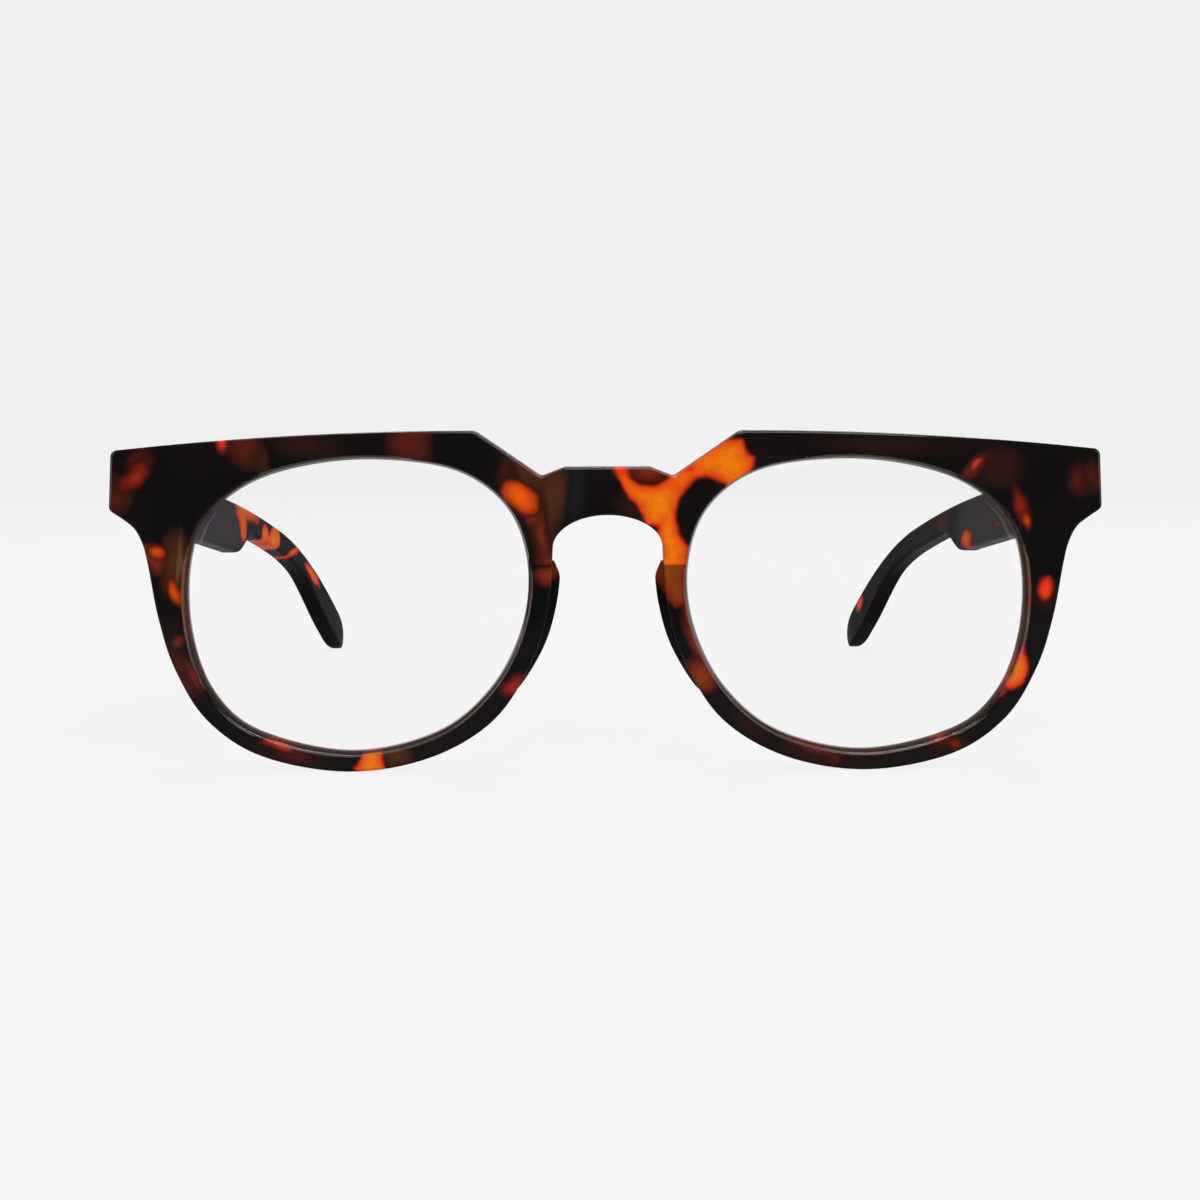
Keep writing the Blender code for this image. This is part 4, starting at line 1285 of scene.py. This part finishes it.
@dataclass
class Temple:
    """One temple: a deep block, a notch in its lower edge, a slim arm and a drooping tip.

    The top edge is straight at first, and then follows the curves, each an arc's length and
    radius. A face whose normal points outward by the outer share or more has the outer finish.
    """

    plan: FrontPlan
    side: Side
    thickness: float = 0.0040
    tip_thickness: float = 0.0032
    inset: float = 0.0002
    gap: float = 0.0003
    top_step: float = 0.0010
    block_height: float = 0.0087
    block_length: float = 0.063
    notch_ramp: float = 0.011
    arm_height: float = 0.0043
    tip_height: float = 0.0074
    tip_start: float = 0.106
    tip_full: float = 0.130
    tip_close: float = 0.0065
    slope: float = math.radians(9.1)
    straight: float = 0.055
    curves: tuple[Pair, ...] = ((0.038, 0.330), (0.047, 0.085))
    bow_inward: float = 0.0130
    bow_power: float = 2.15
    end_lean: float = 0.012
    edge_round: float = 0.0009
    tip_squeeze: float = 0.35
    cut_pitch: float = 0.0015
    outer_share: float = 0.5
    arm_steps: int = 70
    tip_steps: int = 14
    round_steps: int = 6

    @property
    def length(self) -> float:
        """The temple's length along its top edge."""
        return self.straight + sum(length for length, _ in self.curves)

    def height(self, distance: float) -> float:
        """Work out the temple's height.

        Args:
            distance: How far it is from the butt end.

        Returns:
            The height there.
        """
        notch = smoothstep((distance - self.block_length) / self.notch_ramp)
        swell = smoothstep((distance - self.tip_start) / (self.tip_full - self.tip_start))
        return (self.block_height + (self.arm_height - self.block_height) * notch
                + (self.tip_height - self.arm_height) * swell)

    def top_edge(self, distance: float) -> tuple[float, float, float]:
        """Follow the top edge.

        Args:
            distance: How far to follow it from the butt end.

        Returns:
            The Y, the Z and the slope of the edge there.
        """
        y, z = self.plan.land_depth + self.gap, self.plan.end_top - self.top_step
        slope = self.slope
        run = min(distance, self.straight)
        y += run * math.cos(slope)
        z -= run * math.sin(slope)
        left = distance - run
        for length, radius in self.curves:
            arc = min(max(left, 0.0), length)
            turned = slope + arc / radius
            y += radius * (math.sin(turned) - math.sin(slope))
            z += radius * (math.cos(turned) - math.cos(slope))
            slope = turned
            left -= arc
        return y, z, slope

    def outline(self) -> list[Pair]:
        """Draw the flat outline, from the butt end's top corner to its lower one.

        Returns:
            The points, as (distance, down).
        """
        start = self.length - self.tip_close
        marks = [start * i / self.arm_steps for i in range(self.arm_steps + 1)]
        turns = [math.pi / 2 * i / self.tip_steps for i in range(1, self.tip_steps + 1)]
        tip = [(start + self.tip_close * math.sin(a), (1 - math.cos(a)) / 2) for a in turns]
        upper = [(d, 0.0) for d in marks] + [(d, share * self.height(d)) for d, share in tip]
        lower = [(d, (1 - share) * self.height(d)) for d, share in tip[-2::-1]]
        return upper + lower + [(d, self.height(d)) for d in marks[::-1]]

    def place(self, across: float, distance: float, down: float) -> Vector:
        """Bend a place of the flat temple to where it is on the finished one.

        Args:
            across: How far it lies outward from the inner face.
            distance: How far it lies along the top edge.
            down: How far it lies below the top edge.

        Returns:
            The place on the wearer's left.
        """
        y, z, slope = self.top_edge(distance)
        lean = slope * smoothstep(distance / self.end_lean)
        share = distance / self.length
        thickness = self.thickness + (self.tip_thickness - self.thickness) * share
        closing = max((distance - self.length + self.tip_close) / self.tip_close, 0.0)
        squeeze = thickness * self.tip_squeeze * (1 - math.sqrt(max(1 - closing ** 2, 0.0)))
        bow = self.bow_inward * share ** self.bow_power
        inner = self.plan.end_x - self.inset - self.thickness - bow
        x = inner + squeeze + across / self.thickness * (thickness - 2 * squeeze)
        return Vector((x, y - down * math.sin(lean) + FACE_Y, z - down * math.cos(lean)))

    def build(self, materials: Sequence[bpy.types.Material]) -> bpy.types.Object:
        """Cut, thicken, round and bend the temple.

        Args:
            materials: The acetate of the outer face and of the other faces.

        Returns:
            The finished piece.
        """
        mesh = bmesh.new()
        mesh.faces.new([mesh.verts.new((0.0, along, -down)) for along, down in self.outline()])
        thicken(mesh, Vector((self.thickness, 0.0, 0.0)))
        edges = [edge for edge in mesh.edges
                 if abs(edge.verts[0].co.x - edge.verts[1].co.x) < TINY
                 and max(vertex.co.y for vertex in edge.verts) > TINY
                 and edge.calc_face_angle() > SHARP_EDGE]
        round_edges(mesh, edges, self.edge_round, self.round_steps)
        for index in range(1, int(self.length / self.cut_pitch) + 1):
            cut_across(mesh, "Y", index * self.cut_pitch)
        mesh.normal_update()
        for face in mesh.faces:
            face.material_index = int(face.normal.x < self.outer_share)
        for vertex in mesh.verts:
            vertex.co = self.place(vertex.co.x, max(vertex.co.y, 0.0), -vertex.co.z)
        mirror_to(mesh, self.side)
        word = self.side.word
        return make_piece(mesh, f"temple_acetate_{word}", f"{word}_temple",
                          materials, f"temple_{word}")


@dataclass
class Hardware:
    """The hinge leaves, hinge screws and core wires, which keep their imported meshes."""

    leaf: SteelFinish = SteelFinish("hinge_leaf_steel", "b9b4ad", 0.24, (1.0, 1.0, 0.12))
    screw: SteelFinish = SteelFinish("screw_steel", "c8c6c2", 0.18, (1.0, 1.0, 1.0))
    wire: SteelFinish = SteelFinish("core_wire_steel", "aeaba6", 0.30, (1.0, 0.05, 1.0))

    def dress(self) -> list[bpy.types.Object]:
        """Give each metal node its finish.

        Returns:
            The dressed pieces.
        """
        dressed = []
        for finish, *stems in ((self.leaf, "front_hinge", "temple_hinge"),
                               (self.screw, "hinge_screw"), (self.wire, "core_wire")):
            material = finish.material()
            for name in [f"{stem}_{side.word}" for stem in stems for side in Side]:
                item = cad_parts[name]
                for slot in item.material_slots:
                    slot.material = material
                dressed.append(item)
        return dressed


@dataclass(frozen=True)
class Lamp:
    """One soft box: its place, what it points at, its size and its power in watts."""

    name: str
    place: tuple[float, float, float]
    target: tuple[float, float, float]
    size: Pair
    power: float

    def build(self) -> None:
        """Hang the lamp and aim it."""
        data = bpy.data.lights.new(self.name, "AREA")
        data.shape = "RECTANGLE"
        data.size, data.size_y = self.size
        data.energy = self.power
        item = bpy.data.objects.new(self.name, data)
        item.location = self.place
        aim = Vector(self.target) - Vector(self.place)
        item.rotation_euler = aim.to_track_quat("-Z", "Y").to_euler()
        bpy.context.scene.collection.objects.link(item)


@dataclass
class Studio:
    """The pale paper, the soft light and the camera.

    The camera's place is measured from the front's outer face, its angles are in degrees, and
    its focal length is in pixels of the photograph.
    """

    paper: PaperFinish = PaperFinish()
    fill: float = 0.128
    camera_place: tuple[float, float, float] = (-0.0050, -0.25999, 0.05156)
    yaw: float = -0.85
    pitch: float = 5.927
    roll: float = 0.10
    focal_pixels: float = 1873.3
    clip: Pair = (0.01, 20.0)
    reach: float = 3.0
    paper_front: float = -0.235
    paper_steps: int = 120
    curve_start: float = 0.9
    curve_radius: float = 0.5
    lamps: tuple[Lamp, ...] = (
        Lamp("front_soft_box", (0.10, -0.62, 0.62), (0.0, -0.07, 0.02), (0.55, 0.40), 3.9),
        Lamp("left_soft_box", (0.62, -0.40, 0.22), (0.0, -0.06, 0.02), (0.25, 0.45), 1.2),
        Lamp("right_soft_box", (-0.62, -0.40, 0.22), (0.0, -0.06, 0.02), (0.25, 0.45), 1.2),
        Lamp("top_soft_box", (0.0, 0.15, 0.75), (0.0, 0.0, 0.02), (0.70, 0.50), 2.3),
        Lamp("back_strip", (0.05, 0.50, 0.42), (0.0, -0.07, 0.02), (0.40, 0.06), 1.5),
    )

    def build(self) -> None:
        """Set up everything round the glasses."""
        self.add_paper()
        for lamp in self.lamps:
            lamp.build()
        self.add_world()
        self.add_camera()
        bpy.context.scene.view_settings.view_transform = "Standard"

    def add_paper(self) -> None:
        """Lay the paper: flat under the glasses and curved up behind them."""
        mesh = bmesh.new()
        bmesh.ops.create_grid(mesh, x_segments=2, y_segments=self.paper_steps, size=self.reach)
        bmesh.ops.translate(mesh, vec=(0.0, self.reach + self.paper_front, 0.0),
                            verts=mesh.verts[:])
        quarter = self.curve_radius * math.pi / 2
        for vertex in mesh.verts:
            run = vertex.co.y - self.curve_start
            if run > 0:
                angle = min(run, quarter) / self.curve_radius
                vertex.co.y = self.curve_start + self.curve_radius * math.sin(angle)
                vertex.co.z = self.curve_radius * (1 - math.cos(angle)) + max(run - quarter, 0.0)
        data = bpy.data.meshes.new("paper")
        mesh.to_mesh(data)
        mesh.free()
        data.shade_smooth()
        data.materials.append(self.paper.material())
        item = bpy.data.objects.new("paper", data)
        bpy.context.scene.collection.objects.link(item)

    def add_world(self) -> None:
        """Set a dim even fill, which the camera sees as the paper's own level."""
        world = bpy.data.worlds.new("studio_air")
        bpy.context.scene.world = world
        board = Board(world)
        seen = board.add("ShaderNodeLightPath").outputs["Is Camera Ray"]
        strength = board.spread(seen, target=(self.fill, self.paper.level))
        sky = board.add("ShaderNodeBackground", Color=(1.0,) * 4, Strength=strength)
        board.add("ShaderNodeOutputWorld", Surface=sky.outputs[0])

    def add_camera(self) -> None:
        """Place the camera as the photograph was taken."""
        data = bpy.data.cameras.new("camera")
        data.sensor_width = SENSOR_WIDTH
        data.lens = self.focal_pixels / IMAGE_SIZE * SENSOR_WIDTH
        data.clip_start, data.clip_end = self.clip
        item = bpy.data.objects.new("camera", data)
        x, y, z = self.camera_place
        turn = Matrix.Rotation(math.radians(self.yaw), 4, "Z")
        nod = Matrix.Rotation(math.radians(90 - self.pitch), 4, "X")
        tilt = Matrix.Rotation(math.radians(-self.roll), 4, "Z")
        item.matrix_world = Matrix.Translation((x, y + FACE_Y, z)) @ turn @ nod @ tilt
        bpy.context.scene.collection.objects.link(item)
        bpy.context.scene.camera = item


FRONT_LAYERS = (
    Layer(Tone.SMOKE, (
        Patch((-42.0, 46.2), (5.0, 1.8)),
        Patch((55.4, 42.8), (3.6, 3.0)), Patch((38.0, 46.0), (9.0, 1.2), -3),
        Patch((3.4, 37.6), (2.6, 1.8), -30), Patch((28.5, 2.8), (4.0, 1.7), -14),
        Patch((-44.8, 2.2), (4.6, 1.8), -10), Patch((62.6, 24.6), (2.4, 2.2)),
        Patch((20.0, 6.8), (3.0, 1.4), -40), Patch((48.4, 3.4), (3.0, 1.6), 20),
    )),
    Layer(Tone.OLIVE, (
        Patch((-7.9, 39.2), (2.5, 4.8)), Patch((-8.6, 34.8), (1.3, 4.2)),
        Patch((-11.2, 42.2), (3.8, 1.9), -40), Patch((-48.9, 44.6), (1.2, 2.6), 20),
        Patch((-69.6, 37.6), (1.8, 1.4)), Patch((-61.4, 29.6), (1.9, 4.4), -10),
        Patch((-29.8, 2.2), (2.2, 1.7)), Patch((69.2, 41.6), (1.2, 2.0)),
    )),
    # A painted highlight: a thin tan line along the outer edge of the wearer's right opening.
    Layer(Tone.TAN, (Patch((-60.5, 29.4), (3.4, 0.35), 86),)),
    Layer(Tone.UMBER, (
        Patch((-15.4, 43.2), (3.0, 1.6), -38), Patch((-9.6, 34.0), (1.3, 4.2)),
        Patch((-27.4, 46.4), (3.6, 2.9)), Patch((-60.6, 14.4), (3.8, 1.4), -62),
        Patch((68.6, 41.8), (1.6, 2.0)),
        Patch((-69.4, 39.2), (2.0, 2.6)), Patch((-50.9, 45.6), (2.5, 2.8), 14),
    ), (Patch((-19.4, 46.0), (5.0, 9.0)),)),
    Layer(Tone.WINE, (
        Patch((-65.9, 44.0), (1.8, 1.3), 40), Patch((-70.7, 42.2), (1.0, 1.6)),
        Patch((67.0, 41.2), (1.3, 2.2)), Patch((-44.8, 2.6), (2.6, 1.2), -10),
        Patch((-59.9, 12.0), (1.6, 1.0), -60), Patch((31.9, 1.9), (0.9, 1.2)),
    )),
    Layer(Tone.RUST, (
        Patch((-64.2, 30.6), (1.9, 1.5)), Patch((-63.9, 29.2), (0.8, 1.3)),
        Patch((12.9, 13.8), (2.8, 1.8), -50), Patch((12.2, 18.4), (3.4, 0.9), -66),
        Patch((11.5, 21.2), (2.6, 1.0), -68),
        Patch((5.9, 42.4), (2.6, 1.1)), Patch((-60.9, 18.3), (0.9, 0.8)),
        Patch((-8.4, 30.3), (1.3, 0.8)), Patch((-10.7, 36.4), (1.1, 1.8), 12),
        Patch((-9.3, 33.6), (0.9, 3.0)),
        # The thin rust patch at X 29 mm is partly the warm tone of the lower wall, partly a painted
        # copper glint.
        Patch((51.7, 42.8), (2.0, 0.8), 40), Patch((29.2, 3.4), (3.0, 0.6), -17),
        Patch((-58.8, 13.6), (2.0, 0.6), -62),
    )),
    Layer(Tone.RED, (
        Patch((-66.6, 41.8), (3.1, 1.2), 42), Patch((-13.2, 12.7), (2.0, 1.4), 30),
        Patch((58.5, 37.2), (2.7, 1.0), -72), Patch((38.0, 3.0), (1.4, 0.8)),
        Patch((47.4, 4.3), (1.5, 0.9)), Patch((49.5, 3.2), (0.8, 0.7)),
        Patch((-46.2, 3.5), (1.4, 0.6), -14),
    )),
    Layer(Tone.EMBER, (
        Patch((-12.2, 38.7), (2.9, 1.7), -42),
        Patch((-8.1, 28.2), (2.4, 1.4), 15), Patch((10.9, 24.0), (3.0, 1.0), -75),
        Patch((-61.2, 25.6), (1.9, 0.85), -68), Patch((52.1, 43.2), (0.9, 0.5), 40),
        Patch((-63.6, 30.9), (1.0, 0.8)), Patch((56.4, 11.3), (2.2, 0.8), 48),
        # The thin ember patch at X 29 mm is a painted copper glint on the lower wall of the
        # wearer's left opening.
        Patch((59.3, 35.2), (1.2, 0.5), -72), Patch((28.8, 4.2), (3.4, 0.6), -13),
        Patch((-46.8, 3.7), (1.9, 0.5), -14), Patch((47.3, 4.5), (1.5, 0.7), 16),
    )),
    Layer(Tone.AMBER, (
        Patch((6.3, 38.6), (4.0, 3.4)), Patch((3.5, 41.2), (3.8, 1.7), -52),
        Patch((9.3, 34.0), (2.3, 6.0)), Patch((8.9, 27.5), (3.0, 4.4)),
        Patch((13.0, 43.0), (5.4, 2.2), 32), Patch((17.0, 43.6), (3.4, 3.2)),
        Patch((-33.6, 1.4), (2.8, 2.6)), Patch((58.2, 14.2), (3.0, 1.95), 74),
        Patch((59.0, 18.4), (1.6, 0.4), 80),
    ), (
        Patch((5.9, 43.2), (3.4, 2.5), floor=-0.2), Patch((22.3, 47.5), (4.0, 4.0)),
        Patch((13.9, 36.5), (4.3, 5.2)),
        Patch((8.5, 20.2), (8.6, 1.9), -64.5), Patch((-0.5, 35.6), (9.0, 5.0), -54),
        Patch((15.0, 26.6), (4.0, 8.0)), Patch((12.6, 20.0), (3.0, 4.2), 25),
        Patch((-26.7, 2.0), (5.0, 8.0)), Patch((-39.3, 4.5), (8.0, 5.0), 54.5),
    )),
    Layer(Tone.SCARLET, (Patch((62.5, 25.7), (1.35, 1.45)), Patch((-53.9, 46.4), (0.7, 1.2)))),
    Layer(Tone.FLAME, (Patch((11.8, 42.9), (1.0, 0.6), 30), Patch((2.0, 42.4), (0.6, 0.9), 30))),
    # A painted sheen: a bluish-grey stripe on the bridge that stands in for how a flat facet there
    # reflects.
    Layer(Tone.SLATE, (Patch((-4.4, 39.7), (1.3, 4.6)),)),
)
RIGHT_TEMPLE_LAYERS = (
    Layer(Tone.OLIVE, (
        Patch((-44.0, 39.0), (7.0, 2.5), -10), Patch((-36.0, 33.5), (5.0, 1.8), 15),
    )),
    Layer(Tone.WINE, (Patch((66.0, 8.5), (3.0, 1.2), -50),)),
    Layer(Tone.RUST, (Patch((-46.5, 34.0), (4.0, 2.0), 30),)),
    Layer(Tone.EMBER, (
        Patch((-33.0, 38.4), (5.5, 1.5), -8), Patch((9.0, 32.4), (8.5, 1.6), -13),
        Patch((5.0, 32.8), (4.0, 1.8)), Patch((5.6, 30.4), (2.7, 3.3)),
        Patch((72.0, 4.0), (2.0, 1.0), -50),
    )),
    Layer(Tone.AMBER, (
        Patch((20.8, 27.6), (2.4, 1.9)), Patch((27.2, 26.5), (3.8, 2.5)),
        Patch((24.0, 26.4), (3.0, 1.0)), Patch((39.5, 22.7), (5.0, 0.7), 8),
        Patch((51.6, 17.2), (5.4, 1.3), -32),
    )),
)
# The temples' inner faces get a painted sheen: a grey-violet that stands in for their reflection at
# a glancing view.
INNER_HAZE = Layer(Tone.HAZE, (Patch((-16.0, 32.5), (22.0, 7.0), -9),))
LEFT_TEMPLE_LAYERS = (
    Layer(Tone.OLIVE, (Patch((-46.0, 38.0), (6.0, 2.4), 20),)),
    Layer(Tone.UMBER, (Patch((-33.0, 33.5), (6.0, 2.4), 10), Patch((14.0, 30.0), (4.0, 1.6), -10))),
    Layer(Tone.RUST, (Patch((-48.0, 33.8), (4.4, 1.6), -25), Patch((-20.5, 31.8), (3.2, 0.8)))),
    Layer(Tone.EMBER, (
        Patch((-36.5, 39.5), (4.0, 1.3), -15), Patch((-1.6, 27.9), (3.3, 1.7)),
        Patch((62.6, 9.7), (2.4, 1.5), -40),
    )),
)


def main() -> None:
    """Build every piece of the glasses, report each one, and set up the studio round them."""
    logging.basicConfig(level=logging.INFO, format="%(name)s: %(message)s")
    plan = FrontPlan()
    sheet = TortoiseshellFinish("tortoiseshell_front", Plane.FRONT, FRONT_LAYERS, PAD_LINE)
    sheets = [sheet.within(area).material() for area in FRONT_AREAS]
    bridge_sheet = sheets[1]
    lens = [LensFinish().material(), LensEdgeFinish().material()]
    temple_layers = {Side.LEFT: LEFT_TEMPLE_LAYERS, Side.RIGHT: RIGHT_TEMPLE_LAYERS}
    pieces = [Front(plan).build(sheets)]
    for side in Side:
        outer = TortoiseshellFinish(f"tortoiseshell_temple_{side.word}", Plane.TEMPLE,
                                    temple_layers[side])
        # The inner faces' own gloss is turned down, since their sheen is painted.
        inner = replace(outer, name=f"{outer.name}_inner", layers=(INNER_HAZE, *outer.layers),
                        roughness=0.2, specular=0.06)
        pieces += [Lens(plan, side).build(lens), NosePad(plan, side).build(bridge_sheet),
                   Temple(plan, side).build([outer.material(), inner.material()])]
    pieces += Hardware().dress()
    for piece in pieces:
        LOG.info("%s: %d faces, finish %s", piece.name, len(piece.data.polygons),
                 ", ".join(slot.material.name for slot in piece.material_slots))
    Studio().build()


if __name__ == "__main__":
    main()
